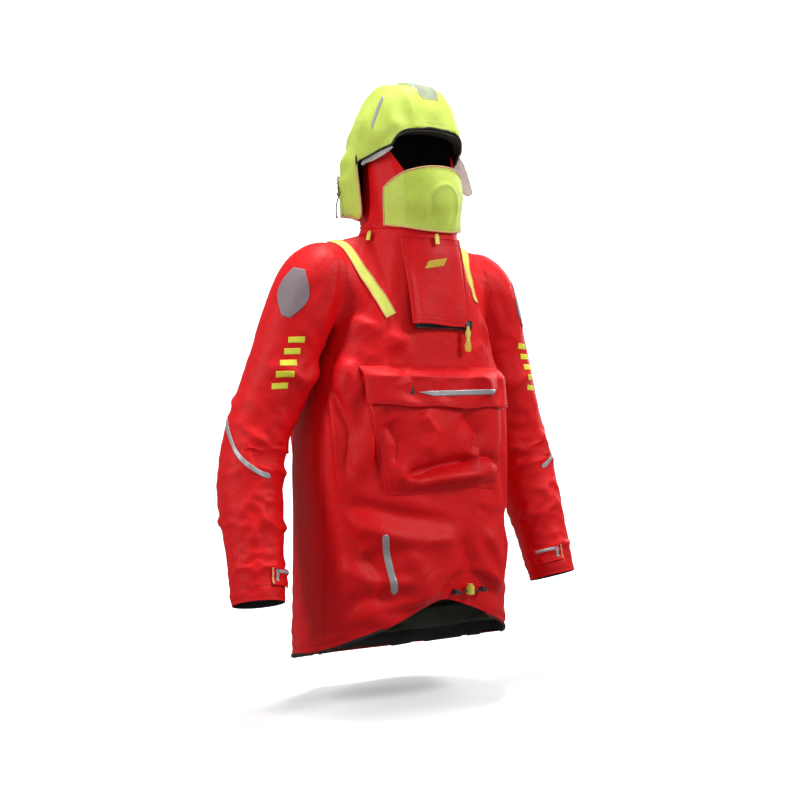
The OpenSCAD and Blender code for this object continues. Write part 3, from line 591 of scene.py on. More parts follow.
def garment_net():
    """Points, faces and the region of each face, for the outer face of the cloth."""
    points, faces, regions = [], [], []

    def add_grid(g, row_regions, wrap=False):
        new = grid_faces(*g.shape[:2], wrap, sum(len(p) for p in points))
        points.append(g.reshape(-1, 3))
        faces.extend(new)
        regions.extend(np.repeat(row_regions, len(new) // len(row_regions)).tolist())

    h = np.linspace(-1, 1, FRONT_COLS + 1)
    v = np.linspace(0, 1, YOKE_ROWS + 1)
    t = np.linspace(0, 1, LOW_ROWS + 1)[:, None]
    side = np.linspace(-SEAM_TH, SEAM_TH, SIDE_COLS + 1)
    th_back = math.pi / 2 - (math.pi / 2 - SEAM_TH) * h[::-1]
    th_front = -(math.pi / 2 - (math.pi / 2 - SEAM_TH) * h)
    ring = np.concatenate([th_front[:-1], side[:-1], th_back[:-1], math.pi + side[:-1]])
    ring = (ring + math.pi) % (2 * math.pi) - math.pi
    add_grid(torso_pt(ring[None], lerp(hem_z(ring)[None], PIT_Z, t)), [REGION_BODY] * LOW_ROWS, True)
    add_grid(yoke_pt(h[None], v[:, None], -1), [REGION_BODY] * YOKE_ROWS)
    add_grid(yoke_pt(h[None, ::-1], v[:, None], 1), [REGION_BODY] * YOKE_ROWS)
    lengths = np.linspace(HEAD_LEN, SLEEVE_LEN, SLEEVE_ROWS + 1)
    arm_rows = SLEEVE_ROWS - int(np.searchsorted(lengths, SPLIT_L))
    bottom = torso_pt(side, PIT_Z)[::-1]
    for s, shift in ((RIGHT, 0), (LEFT, 2)):
        front, back = yoke_pt(s, v, -1), yoke_pt(s, v, 1)
        hole = mirror(np.concatenate([front[:-1], back[::-1][:-1], mirror(bottom, s)[:-1]]), s)
        psi = np.arctan2(hole[:, 1], hole[:, 2] - ARM_Z)
        rows = [hole] + [head_pt(psi, 1 - k / HEAD_ROWS, hole) for k in range(1, HEAD_ROWS + 1)]
        rows += [sleeve_pt(psi, l) for l in lengths[1:]]
        g = mirror(np.array(rows)[::-1], s)
        row_regions = [REGION_ARM + shift] * arm_rows + [REGION_SHOULDER + shift] * (len(g) - 1 - arm_rows)
        add_grid(g if s == LEFT else g[:, ::-1], row_regions, True)
    return np.concatenate(points), faces, regions


def sleeve_coords(p, side):
    """Distance along the sleeve and angle (radians, 0 outer side, + back) of points near it."""
    q = np.array(p, float)
    q[..., 0] *= side
    l = np.clip((q - SHOULDER) @ ARM_D, -0.08, None)
    low = (q - ELBOW) @ FORE_D
    l = np.where(low > 0, ARM_LEN + low, np.minimum(l, ARM_LEN))
    c, d = sleeve_axis(l)
    e1, e2 = sleeve_frame(d)
    off = q - c
    return l, np.arctan2(np.sum(off * e2, -1), np.sum(off * e1, -1))


def relax(points, edges, fixed, times, amount=0.5):
    """Laplacian smoothing of a net, leaving fixed points where they are."""
    a, b = edges[:, 0], edges[:, 1]
    count = np.bincount(np.concatenate([a, b]), minlength=len(points))[:, None]
    for _ in range(times):
        total = np.zeros_like(points)
        np.add.at(total, a, points[b])
        np.add.at(total, b, points[a])
        moved = lerp(points, total / np.maximum(count, 1), amount)
        points = np.where(fixed[:, None], points, moved)
    return points


def mesh_arrays(mesh):
    pts = np.empty(len(mesh.vertices) * 3)
    mesh.vertices.foreach_get("co", pts)
    edges = np.empty(len(mesh.edges) * 2, int)
    mesh.edges.foreach_get("vertices", edges)
    nor = np.empty(len(mesh.vertices) * 3)
    mesh.vertex_normals.foreach_get("vector", nor)
    return pts.reshape(-1, 3), edges.reshape(-1, 2), nor.reshape(-1, 3)


def set_points(mesh, pts):
    mesh.vertices.foreach_set("co", np.asarray(pts, float).ravel())
    mesh.update()


SIM_FRAMES = 22
MOST_MOVE = 0.024            # the cloth may hang this far from its formula shape
ARM_R = 0.058                # turns a sleeve's angles into lengths round it
ARM_FOLDS_M = [tuple((math.radians(a) * ARM_R, l) for a, l in f[:3]) + (f[3], f[4]) for f in ARM_FOLDS]
LOCK_X, LOCK_Z = 0.054, -0.677


def drape(obj, body_points, pins):
    """Cloth simulation: the net is cut a little larger than the body inside it and hangs on it."""
    scene = bpy.context.scene
    mannequin = obj.copy()
    mannequin.data = obj.data.copy()
    scene.collection.objects.link(mannequin)
    set_points(mannequin.data, body_points)
    mannequin.modifiers.new("Collision", "COLLISION")
    mannequin.collision.thickness_outer = 0.002
    mannequin.collision.cloth_friction = 12
    group = obj.vertex_groups.new(name="pins")
    for i in np.nonzero(pins > 0)[0]:
        group.add([int(i)], float(pins[i]), "REPLACE")
    cloth = obj.modifiers.new("Cloth", "CLOTH")
    for setting, value in {"quality": 6, "mass": 0.22, "tension_stiffness": 30, "compression_stiffness": 12,
                           "shear_stiffness": 9, "bending_stiffness": 2.2, "tension_damping": 12,
                           "compression_damping": 12, "bending_damping": 2, "shrink_min": -0.03,
                           "vertex_group_mass": "pins", "pin_stiffness": 1.0}.items():
        setattr(cloth.settings, setting, value)
    cloth.collision_settings.collision_quality = 2
    cloth.collision_settings.distance_min = 0.0025
    cloth.collision_settings.use_self_collision = False
    scene.frame_start, scene.frame_end = 1, SIM_FRAMES
    cloth.point_cache.frame_start, cloth.point_cache.frame_end = 1, SIM_FRAMES
    for f in range(1, SIM_FRAMES + 1):
        scene.frame_set(f)
    hung = mesh_arrays(obj.evaluated_get(bpy.context.evaluated_depsgraph_get()).to_mesh())[0]
    obj.modifiers.remove(cloth)
    scene.frame_set(1)
    bpy.data.objects.remove(mannequin)
    return hung


def welded_net():
    """The garment's net as one mesh object, and which of its points lie on an open edge."""
    points, faces, regions = garment_net()
    markers = [RED, LINING, LIME, SILVER, SEAL]      # five stand-in slots, one for each region
    obj = new_mesh("garment", points, faces, markers, regions)
    bm = bmesh.new()
    bm.from_mesh(obj.data)
    bmesh.ops.remove_doubles(bm, verts=bm.verts, dist=2e-5)
    bmesh.ops.recalc_face_normals(bm, faces=bm.faces)
    bm.to_mesh(obj.data)
    open_edge = np.zeros(len(bm.verts), bool)
    for e in bm.edges:
        if e.is_boundary:
            open_edge[[v.index for v in e.verts]] = True
    bm.free()
    return obj, open_edge


def make_garment():
    """Returns the finished outer face of the cloth as one object; materials mark its regions."""
    obj, open_edge = welded_net()
    mesh = obj.data
    pts, edges, _ = mesh_arrays(mesh)
    set_points(mesh, relax(pts, edges, open_edge, 3))
    pts, edges, nor = mesh_arrays(mesh)
    x, y, z = (pts + BACK).T
    side = np.where(x < 0, -1, 1)
    l, psi = sleeve_coords(pts + BACK, side)
    beside_body = np.abs(x) > curve(HALF_W, np.minimum(z, PIT_Z)) + 0.003
    in_arm = smooth((np.abs(x) - 0.168) / 0.02) * beside_body
    body_fold = (fold_height(x, z, FRONT_FOLDS) * smooth((-nor[:, 1] - 0.05) / 0.5)
                 + fold_height(x, z, BACK_FOLDS) * smooth((nor[:, 1] - 0.05) / 0.5))
    arm_fold = sum(fold_height((psi - turn) * ARM_R, l, ARM_FOLDS_M) for turn in (0, 2 * math.pi))
    height = body_fold * (1 - in_arm) + arm_fold * in_arm * np.where(side < 0, 1.0, 0.8)
    near_neck, near_cuff = smooth((z + 0.005) / -0.03), smooth((SLEEVE_LEN - 0.02 - l) / 0.05)
    hung = start = pts + nor * (height * near_neck * lerp(1, near_cuff, in_arm))[:, None]
    set_points(mesh, start)
    hem = open_edge & (z < -0.6) & (in_arm < 0.5)
    pins = np.where(hem, 0.9, 0.0)
    pins[(z > -0.035) & (np.abs(x) < 0.10)] = 1.0
    pins[(in_arm > 0.5) & (l > SLEEVE_LEN - 0.012)] = 1.0
    moved = drape(obj, pts - nor * 0.006, pins) - start
    far = np.linalg.norm(moved, axis=1, keepdims=True)
    hung = start + moved * np.minimum(1, MOST_MOVE / np.maximum(far, 1e-9))
    # The cloth lies flat behind the cord lock
    from_lock = np.hypot(x - LOCK_X, 1.5 * (z - LOCK_Z))
    calm = smooth((0.090 - from_lock) / 0.045) * (y < 0) * (in_arm < 0.5)
    hung = lerp(hung, pts, calm[:, None])
    set_points(mesh, relax(hung, edges, open_edge & ~hem, 1, 0.35))
    obj.modifiers.new("Finer", "SUBSURF").levels = 1
    bpy.context.view_layer.objects.active = obj
    bpy.ops.object.modifier_apply(modifier="Finer")
    return obj


def tree_of(obj):
    bm = bmesh.new()
    bm.from_mesh(obj.data)
    tree = BVHTree.FromBMesh(bm)
    bm.free()
    return tree


def split_garment(obj):
    """Cuts the garment into body, two shoulders and two arms, each with its thickness and lining."""
    names = ["body_cloth", "right_shoulder_cloth", "right_arm_cloth", "left_shoulder_cloth", "left_arm_cloth"]
    pieces = []
    whole = obj.data.attributes.new("whole_normal", "FLOAT_VECTOR", "POINT")
    whole.data.foreach_set("vector", mesh_arrays(obj.data)[2].ravel())
    for region, name in enumerate(names):
        piece = obj.copy()
        mesh = piece.data = obj.data.copy()
        piece.name = name
        bpy.context.scene.collection.objects.link(piece)
        bm = bmesh.new()
        bm.from_mesh(mesh)
        bmesh.ops.delete(bm, geom=[f for f in bm.faces if f.material_index != region], context="FACES")
        for f in bm.faces:
            f.material_index = 0
            f.smooth = True
        bm.to_mesh(mesh)
        bm.free()
        mesh.materials.clear()
        mesh.materials.append(RED)
        mesh.materials.append(LINING)
        outer = len(mesh.vertices)
        thick = piece.modifiers.new("Thickness", "SOLIDIFY")
        thick.thickness, thick.offset = 0.0018, -1
        thick.material_offset = 1
        thick.use_even_offset = False
        bpy.context.view_layer.objects.active = piece
        bpy.ops.object.modifier_apply(modifier="Thickness")
        # The normals of the whole garment are kept, so no line shows where it is cut
        normal = np.empty(len(piece.data.vertices) * 3)
        piece.data.attributes["whole_normal"].data.foreach_get("vector", normal)
        normal = normal.reshape(-1, 3)
        normal[outer:] *= -1
        piece.data.normals_split_custom_set_from_vertices(normal.tolist())
        pieces.append(piece)
    bpy.data.objects.remove(obj)
    return pieces


# ---- Pieces laid on other surfaces ----
def wear(piece, body, *nodes):
    """The piece moves with a body and stands for the CAD nodes that are named."""
    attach(piece, body)
    if nodes:
        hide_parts(*nodes)


def outward(g, centre):
    """Turns a grid so that its normals point away from centre."""
    return g if np.sum(grid_normals(g) * (g - centre)) > 0 else g[:, ::-1]


def facing(g, n):
    """Turns a strip so that its normals point along n."""
    return g if np.sum(grid_normals(g) * n) > 0 else g[::-1]


def edge_of(g):
    return np.concatenate([g[0], g[1:, -1], g[-1, -2::-1], g[-2:0:-1, 0]])


def inset_loop(g, i, j):
    """The ring of grid points i rows and j columns inside the edge."""
    return np.concatenate([g[i, j:-j], g[i:-i, -j], g[-i, -j:j:-1], g[-i:i:-1, j]])


def laid(g, tree, lift, reach=0.05, hint=None):
    """Moves a grid's points along its normals, or along hint, on to a surface and lift above it."""
    n = grid_normals(g) if hint is None else np.broadcast_to(unit(hint), g.shape)
    out = np.empty_like(g)
    for k in np.ndindex(g.shape[:2]):
        p, d = g[k] - BACK, n[k]
        hit = tree.ray_cast(Vector(p + d * reach), Vector(-d), 2 * reach)[0]
        if hit is None:
            hit = tree.find_nearest(Vector(p))[0]
        out[k] = np.array(hit) + d * lift + BACK
    return out


def ribbon(path, width, out, across=5):
    """A strip grid along a path; out is the outward direction at each point."""
    side = unit(np.cross(unit(out), unit(np.gradient(path, axis=0))))
    k = np.linspace(-0.5, 0.5, across)[:, None, None]
    return path[None] + k * np.broadcast_to(width, (len(path),))[None, :, None] * side[None]


STITCH_PITCH, STITCH_LENGTH, STITCH_R, STITCH_LIFT = 0.0042, 0.0028, 0.00042, 0.0003
STITCH_SIDES = 5
STITCH_RINGS = ((-1, 0.35), (-0.6, 1), (0.6, 1), (1, 0.35))      # place along a stitch, share of its radius


def stitches(name, path, out, material):
    """A row of thread dashes along a line on a surface."""
    path = resample(path, STITCH_PITCH / 4)
    old, new = np.linspace(0, 1, len(out)), np.linspace(0, 1, len(path))
    out = unit(np.stack([np.interp(new, old, out[:, k]) for k in range(3)], 1))
    points, faces = [], []
    for i in range(2, 4 * max(1, int(len(path) / 4) - 1), 4):
        d = unit(path[min(i + 1, len(path) - 1)] - path[max(i - 1, 0)])
        side = unit(np.cross(out[i], d))
        base = len(points)
        for t, r in STITCH_RINGS:
            for a in np.arange(STITCH_SIDES) * 2 * math.pi / STITCH_SIDES:
                across = STITCH_R * r * (math.cos(a) * side + math.sin(a) * out[i])
                points.append(path[i] + out[i] * STITCH_LIFT + d * STITCH_LENGTH / 2 * t + across)
        faces += grid_faces(len(STITCH_RINGS), STITCH_SIDES, True, base)
        faces.append(tuple(range(base + STITCH_SIDES - 1, base - 1, -1)))
        faces.append(tuple(range(len(points) - STITCH_SIDES, len(points))))
    return new_mesh(name, points, faces, [material])


def sewn_line(name, path, tree, material=None):
    """Stitches along a line laid on a surface."""
    found = [tree.find_nearest(Vector(p - BACK)) for p in path]
    placed = np.array([np.array(hit) for hit, _, _, _ in found]) + BACK
    return stitches(name, placed, np.array([np.array(n) for _, n, _, _ in found]), material or RED_THREAD)


# ---- Hood ----
HOOD_SEAM = [(0, 0.045, -0.115, 0.176), (0.12, 0.046, -0.101, 0.219), (0.24, 0.048, -0.076, 0.254),
             (0.38, 0.050, -0.030, 0.271), (0.52, 0.050, 0.020, 0.268), (0.66, 0.050, 0.072, 0.240),
             (0.8, 0.048, 0.108, 0.179), (0.9, 0.044, 0.116, 0.110), (1, 0.040, 0.110, 0.037)]
HOOD_EDGE = [(0, 0.080, -0.088, 0.148), (0.2, 0.101, -0.040, 0.130), (0.36, 0.105, -0.009, 0.119),
             (0.5, 0.104, -0.015, 0.076), (0.64, 0.101, -0.017, 0.022), (0.82, 0.092, 0.045, 0.029),
             (1, 0.062, 0.092, 0.034)]
HOOD_MID = np.array([0, 0.005, 0.130])
SIDE_SHARE = 0.36          # share of the hood's width, edge to edge, that one side panel takes


def hood_pt(s, q):
    """s runs from the rim over the crown to the bottom; q from the right edge 0 to the left 1."""
    s, q = np.broadcast_arrays(np.asarray(s, float), np.asarray(q, float))
    m = np.minimum(q, 1 - q)
    side = np.where(q < 0.5, -1.0, 1.0)
    r = np.clip(m / SIDE_SHARE, 0, 1)
    seam, edge = curve(HOOD_SEAM, s), curve(HOOD_EDGE, s)
    swell = np.stack([0.006 + 0.014 * smooth(3 * s), 0 * s, 0.006 * (1 - s)], -1)
    panel = lerp(edge, seam, r[..., None]) + (4 * r * (1 - r))[..., None] * swell
    k = np.clip((0.5 - m) / (0.5 - SIDE_SHARE), 0, 1)
    up = unit(np.stack([0 * s, seam[..., 1], seam[..., 2] - HOOD_MID[2]], -1))
    crown = seam * np.stack([k, 1 + 0 * k, 1 + 0 * k], -1) + 0.007 * (1 - k * k)[..., None] * up
    p = np.where((m < SIDE_SHARE)[..., None], panel, crown)
    return p * np.stack([side, 1 + 0 * side, 1 + 0 * side], -1)


def hood_detail(s, q, p):
    """Small relief of the hood: felled seams, soft folds and the gathers of the rear drawcord."""
    m = np.minimum(q, 1 - q) - SIDE_SHARE
    seam = 0.0013 * bell(m - 0.008, 0.008) - 0.0010 * bell(m + 0.002, 0.003)
    crease = 0.0030 * bell(m - 0.01, 0.05) * smooth((0.3 - s) / 0.25)
    gather = 0.0032 * np.sin(115 * p[..., 2] + 9 * np.sin(14 * p[..., 0])) * smooth((s - 0.62) / 0.12)
    gather = gather * smooth((0.97 - s) / 0.08) * (0.35 + 0.65 * bell(p[..., 2] - 0.12, 0.05))
    slack = 0.0022 * np.sin(21 * q + 9 * s) * np.sin(10 * s + 4) + 0.0012 * np.sin(43 * q - 17 * s)
    return seam + crease + gather + slack * smooth(s / 0.1)


def make_hood_shell():
    s = np.linspace(0, 1, 96)[:, None]
    side = np.linspace(0, SIDE_SHARE, 31)
    middle = np.linspace(SIDE_SHARE, 1 - SIDE_SHARE, 23)
    s, q = np.broadcast_arrays(s, np.concatenate([side[:-1], middle, 1 - side[-2::-1]])[None])
    p = hood_pt(s, q)
    g = p + unit(p - HOOD_MID) * hood_detail(s, q, p)[..., None]
    hood = thick_sheet("hood_shell", outward(g, HOOD_MID), 0.0030, LIME, LINING, rim=0.0006)
    wear(hood, "hood", "hood_centre_panel", "hood_left_panel", "hood_right_panel", "hood_lining")
    return tree_of(hood)


def make_hood_edges(tree):
    along, across = np.linspace(0.02, 0.97, 120), np.linspace(0.02, 0.98, 150)
    rows = [sewn_line("hood_seam_stitches", hood_pt(along, q), tree, LIME_PALE)
            for off in (0.010, 0.017) for q in (SIDE_SHARE + off, 1 - SIDE_SHARE - off)]
    rows += [sewn_line("hood_cross_stitches", hood_pt(s, across), tree, LIME_PALE)
             for s in (0.030, 0.975, 0.80)]
    wear(join("hood_stitching", rows), "hood")

    cheek = np.linspace(0, 0.36, 40)
    brow = hood_pt(0, np.linspace(0, 1, 120))[1:-1]
    path = resample(np.concatenate([hood_pt(cheek[::-1], 0), brow, hood_pt(cheek, 1)]), 0.003)
    path = path - 0.0014 * unit(path - HOOD_MID)
    path[:, 2] += 0.0008 * np.sin(np.arange(len(path)) * 0.35)
    wear(tube("hood_rim_binding", path, 0.0028, 10, BINDING, flat=0.7), "hood", "hood_rim_binding")
    brow = hood_pt(0, np.linspace(0.03, 0.97, 100))
    strip = np.stack([brow + np.array([0, 0.004 + 0.020 * t, -0.0035 - 0.004 * t])
                      for t in np.linspace(0, 1, 5)])
    wear(thick_sheet("hood_rim_facing", strip, 0.0012, PATCH, BINDING), "hood")

    down, round_back = np.linspace(0.38, 1, 60), np.linspace(0, 1, 60)
    skirt = np.concatenate([hood_pt(down, 0), hood_pt(1, round_back)[1:-1], hood_pt(down[::-1], 1)])
    skirt = resample(skirt, 0.004) - np.array([0, 0, 0.0004])
    wear(tube("hood_skirt_piping", skirt, 0.0018, 8, ORANGE_EDGE), "hood")


def make_hood_marks(tree):
    across, down = np.linspace(-1, 1, 22)[None], np.linspace(-1, 1, 26)[:, None]
    half = 0.56 * (0.5 - SIDE_SHARE) * (1 - 0.35 * np.abs(down) ** 3)
    crown = hood_pt(0.29 + 0.13 * down, 0.5 + half * across)
    crown = laid(outward(crown, HOOD_MID), tree, 0.0010)
    patch = thick_sheet("hood_crown_patch", crown, 0.0012, SILVER_GREEN, rim=0.0004)
    wear(patch, "hood", "hood_crown_patch")
    line = np.concatenate([crown[1, 1:-1], crown[1:-1, -2], crown[-2, -2:0:-1], crown[-2:0:-1, 1]])
    wear(stitches("hood_crown_patch_stitches", line, unit(line - HOOD_MID), LIME_PALE), "hood")
    t = np.linspace(0, 1, 24)[None]
    k = np.linspace(-1, 1, 7)[:, None]
    bar = hood_pt(0.24 + 0.060 * t + 0.016 * k, SIDE_SHARE * (0.40 + 0.42 * t + 0.03 * k))
    bar = laid(outward(bar, HOOD_MID), tree, 0.0009)
    wear(thick_sheet("hood_right_flash", bar, 0.0010, SILVER, rim=0.0003), "hood", "hood_right_flash")


def make_side_window(side, drop, flare, reach):
    """A clear window hanging inside the hood's edge: its drop, outward flare and rear end."""
    name = SIDE_NAME[side]
    a = np.linspace(0.03, reach, 30)
    b = np.linspace(0, 1, 14)[:, None]
    shape = (0.35 + 0.65 * smooth(2.4 * a / a[-1])) * (1 - 0.25 * (a / a[-1]) ** 4)
    top = mirror(curve(HOOD_EDGE, a), side) + np.array([-side * 0.005, -0.004, -0.002])
    move = np.stack([side * flare * b**1.2 * shape, -0.010 * b * shape, -drop * b * shape], -1)
    g = outward(top[None] + move, HOOD_MID)
    g[..., 0] += side * 0.0016 * np.sin(9 * b + 12 * a)
    wear(thick_sheet(name + "_side_window", g, 0.0008, FILM), "hood", name + "_side_window")
    wear(tube(name + "_window_edge", resample(edge_of(g), 0.004), 0.0009, 6, FILM, closed=True), "hood")


def make_rear_drawcord():
    at = hood_pt(0.86, 0.145)
    normal = unit(at - HOOD_MID)
    across = unit(np.cross(normal, [0, 0, 1.0]))
    ring = circle(at + normal * 0.0015, 0.0036, across, np.cross(normal, across), 28)
    wear(tube("hood_drawcord_eyelet", ring, 0.0011, 8, HARDWARE, closed=True), "hood")
    rear = hood_pt(0.80, np.linspace(0.10, 0.19, 40))
    gathered = rear + unit(rear - HOOD_MID) * (0.0034 + 0.0012 * np.sin(np.arange(40) * 0.8))[:, None]
    wear(tube("hood_rear_drawcord", gathered, 0.0013, 8, BINDING), "hood")


def make_hood():
    tree = make_hood_shell()
    make_hood_edges(tree)
    make_hood_marks(tree)
    make_side_window(RIGHT, 0.006, 0.001, 0.34)
    make_side_window(LEFT, 0.062, 0.030, 0.24)
    make_rear_drawcord()


# ---- Collar and face mask ----
COLLAR_H = 0.150
# Height of the collar's top at an angle in degrees from the front
COLLAR_TOP = np.array([(0, 0.092), (40, 0.098), (62, COLLAR_H - 0.008), (80, COLLAR_H),
                       (130, COLLAR_H - 0.008), (180, COLLAR_H - 0.022)])


def collar_top(th):
    away = np.degrees(np.abs(np.arctan2(np.sin(th + math.pi / 2), np.cos(th + math.pi / 2))))
    return np.interp(away, COLLAR_TOP[:, 0], COLLAR_TOP[:, 1])


def collar_pt(th, t, out=0.0):
    th, t = np.broadcast_arrays(np.asarray(th, float), np.asarray(t, float))
    return np.stack([(NECK_W - 0.005 * t + out) * np.cos(th),
                     NECK_Y + 0.004 * t + (NECK_D - 0.007 * t + out) * np.sin(th),
                     lerp(neck_z(np.sin(th)) + 0.0015, collar_top(th), t)], -1)


def from_neck(p):
    """Level direction away from the middle of the neck."""
    return unit(p * np.array([1, 1, 0]) - np.array([0, NECK_Y, 0]))


def make_collar():
    th = np.linspace(-math.pi, math.pi, 144, endpoint=False)[None]
    t = np.linspace(0, 1, 52)[:, None]
    p = collar_pt(th, t)
    folds = (0.0026 * np.sin(3 * th + 20 * p[..., 2] + 1.3) + 0.0016 * np.sin(11 * th + 34 * p[..., 2])
             + 0.0030 * bell(p[..., 2] - 0.028, 0.011) * (0.6 + 0.4 * np.sin(5 * th)))
    folds = folds * smooth(t / 0.12) * smooth((1.02 - t) / 0.2)
    collar = thick_sheet("collar_cloth", p + from_neck(p) * folds[..., None], 0.0034, RED, LINING, wrap=True)
    wear(collar, "torso", "collar_shell", "collar_lining")
    tree = tree_of(collar)
    ring, up = np.linspace(-math.pi, math.pi, 260), np.linspace(0.05, 0.95, 60)
    rows = [sewn_line("collar_stitches", collar_pt(ring, v), tree) for v in (0.045, 0.955)]
    rows += [sewn_line("cheek_stitches", collar_pt(-math.pi / 2 + cheek, up), tree)
             for cheek in (-1.36, 1.36)]
    wear(join("collar_stitching", rows), "torso")
    wear(tube("neck_seam_piping", resample(collar_pt(ring, 0), 0.004), 0.0021, 8, RED), "torso")


MASK_HALF = math.radians(66)
MASK_HIGH = [(-1, 0.070), (-0.86, 0.082), (-0.6, 0.096), (-0.3, 0.104), (0, 0.106), (0.3, 0.104),
             (0.6, 0.096), (0.86, 0.082), (1, 0.070)]
MASK_LOW = [(-1, 0.001), (-0.6, -0.006), (-0.3, -0.011), (0, -0.0125), (0.3, -0.011), (0.6, -0.006),
            (1, 0.001)]
MASK_NOSE = [(0, 0.15), (0.2, 0.45), (0.45, 1), (0.62, 1.0), (0.85, 0.72), (1, 0.5)]
MASK_FACET = 0.62          # where the mask's facets meet, as a share of its half width
VENT_HALF, VENT_Z, VENT_H = 0.036, 0.020, 0.052


def mask_pt(h, t, out=0.0):
    h, t = np.broadcast_arrays(np.asarray(h, float), np.asarray(t, float))
    nose = 0.020 * bell(h, 0.55) * curve(MASK_NOSE, t) + 0.005 * bell(h, 1.1)
    facet = 0.0035 * bell(np.abs(h) - MASK_FACET, 0.10)
    p = collar_pt(-math.pi / 2 + MASK_HALF * h, 0.5, 0.004)
    p = p + from_neck(p) * (nose + facet + out)[..., None]
    p[..., 2] = lerp(curve(MASK_LOW, h), curve(MASK_HIGH, h), t)
    return p


def make_mask():
    h = np.linspace(-1, 1, 110)[None]
    t = np.linspace(0, 1, 84)[:, None]
    plain = mask_pt(h, t)
    x, z = plain[..., 0], plain[..., 2]
    beside = np.abs(x) - 0.024
    dimple = -0.0042 * np.exp(-((beside / 0.0085) ** 2) - ((z - 0.030 - 0.9 * beside) / 0.020) ** 2)
    arch = 0.0016 * bell(np.hypot(x / VENT_HALF, (z - VENT_Z) / VENT_H) - 1, 0.10)
    arch = arch * smooth((z - 0.004) / 0.02)
    soft = 0.0012 * np.sin(40 * x + 1) * np.sin(50 * z) + 0.0008 * np.sin(95 * z + 30 * x)
    g = mask_pt(h, t, dimple + arch + soft)
    mask = thick_sheet("face_mask", g, 0.0024, LIME, LINING, rim=0.0005)
    wear(mask, "mask", "face_mask", "mask_vent")
    tree = tree_of(mask)
    wear(tube("mask_piping", resample(edge_of(g), 0.003), 0.0016, 8, ORANGE_EDGE, closed=True), "mask")
    up, a = np.linspace(0.05, 0.95, 60), np.linspace(0.1, math.pi - 0.1, 70)
    vent = np.stack([VENT_HALF * np.cos(a), 0 * a - 0.15, VENT_Z + VENT_H * np.sin(a)], 1)
    lines = [inset_loop(g, 4, 5), mask_pt(-MASK_FACET, up), mask_pt(MASK_FACET, up), vent]
    rows = [sewn_line("mask_edge_stitches", line, tree, LIME_PALE) for line in lines]
    wear(join("mask_stitching", rows), "mask")


# ---- Body trims, hem and inside ----
def make_body_stitching():
    lines = []
    for face in (-1, 1):
        for side in (RIGHT, LEFT):
            seam = face * (SEAM_TH if side == LEFT else math.pi - SEAM_TH)
            z = np.linspace(float(hem_z(seam)) + 0.01, PIT_Z, 170)
            lines += [("side_seam_stitches", torso_pt(seam + face * side * turn, z))
                      for turn in (0, 0.007 / 0.21)]
    ring = np.linspace(-math.pi, math.pi, 520)
    lines += [("hem_stitches", torso_pt(ring, hem_z(ring) + up)) for up in (0.010, 0.028)]
    v = np.linspace(0.04, 0.99, 60)
    lines += [("armhole_stitches", yoke_pt(side * 0.965, v, face))
              for face in (-1, 1) for side in (RIGHT, LEFT)]
    h = np.linspace(-0.98, -0.52, 40)
    lines += [("shoulder_stitches", yoke_pt(side * h, 0.955, -1)) for side in (RIGHT, LEFT)]
    wear(join("body_stitching", [sewn_line(name, line, CLOTH) for name, line in lines]), "torso")


# Places across the yoke at heights on it, then the top and bottom of the tape
TAPES = {RIGHT: ([(0.03, -0.46), (0.3, -0.60), (0.6, -0.78), (0.85, -0.89), (0.985, -0.975)], 0.985, 0.03),
         LEFT: ([(0.2, 0.50), (0.35, 0.535), (0.6, 0.62), (0.95, 0.84)], 0.95, 0.22)}


def make_shoulder_tape(side):
    keys, top, bottom = TAPES[side]
    name = SIDE_NAME[side] + "_shoulder_tape"
    v = np.linspace(top, bottom, 70)
    h = curve(keys, v)
    n = unit(np.cross(yoke_pt(h + 0.01, v, -1) - yoke_pt(h - 0.01, v, -1),
                      yoke_pt(h, v + 0.01, -1) - yoke_pt(h, v - 0.01, -1)))
    g = laid(facing(ribbon(yoke_pt(h, v, -1), 0.020, n, across=9), n), CLOTH, 0.0016, 0.03)
    wear(thick_sheet(name, g, 0.0014, TAPE_YELLOW, rim=0.0003), "torso", name)
    edge = resample(edge_of(g), 0.003)
    wear(tube(name + "_edge", edge, 0.0012, 6, ORANGE_EDGE, closed=True, flat=0.7), "torso")
    wear(stitches(name + "_stitches", g[1], np.tile(n[:1], (len(g[1]), 1)), LIME_PALE), "torso")


def make_hip_stripe():
    k = np.arange(40)
    z = np.linspace(-0.562, -0.672, 40)
    x = RIGHT * lerp(0.129, 0.107, (z + 0.565) / -0.105)
    n = unit(np.stack([x * 2.5, np.full(40, -1.0), 0 * x], 1))
    end = np.minimum(1, np.minimum(k + 0.6, 39.6 - k) / 2.5)
    g = facing(ribbon(np.stack([x, front_y(x, z), z], 1), 0.0115 * lerp(0.35, 1, end), n), n)
    stripe = thick_sheet("right_hip_stripe", laid(g, CLOTH, 0.0012, 0.03), 0.0012, SILVER, rim=0.0003)
    wear(stripe, "torso", "right_hip_stripe")


def make_hem_inside():
    level = np.array([1, 1, 0])
    th = np.linspace(-math.pi, math.pi, 200, endpoint=False)[None]
    t = np.linspace(0, 1, 8)[:, None]
    inner = torso_pt(th, hem_z(th) + lerp(0.020, 0.064, t), -0.0035)
    inner = inner + unit(inner * level) * (0.0008 * np.sin(23 * th + 30 * t))[..., None]
    inner = laid(inner, CLOTH, -0.0050)
    wear(thick_sheet("hem_facing", inner, 0.0012, LINING, BINDING, wrap=True), "torso", "hem_facing")
    t = np.linspace(0, 1, 26)[:, None]
    band = torso_pt(th, lerp(-0.635, -0.540, t), -lerp(0.034, 0.008, t))
    band = band + unit(band * level) * (0.0028 * np.sin(60 * th) * (1 - t) ** 0.6)[..., None]
    wear(thick_sheet("inner_waistband", band, 0.0018, LINING, SEAL, wrap=True), "torso", "inner_waistband")


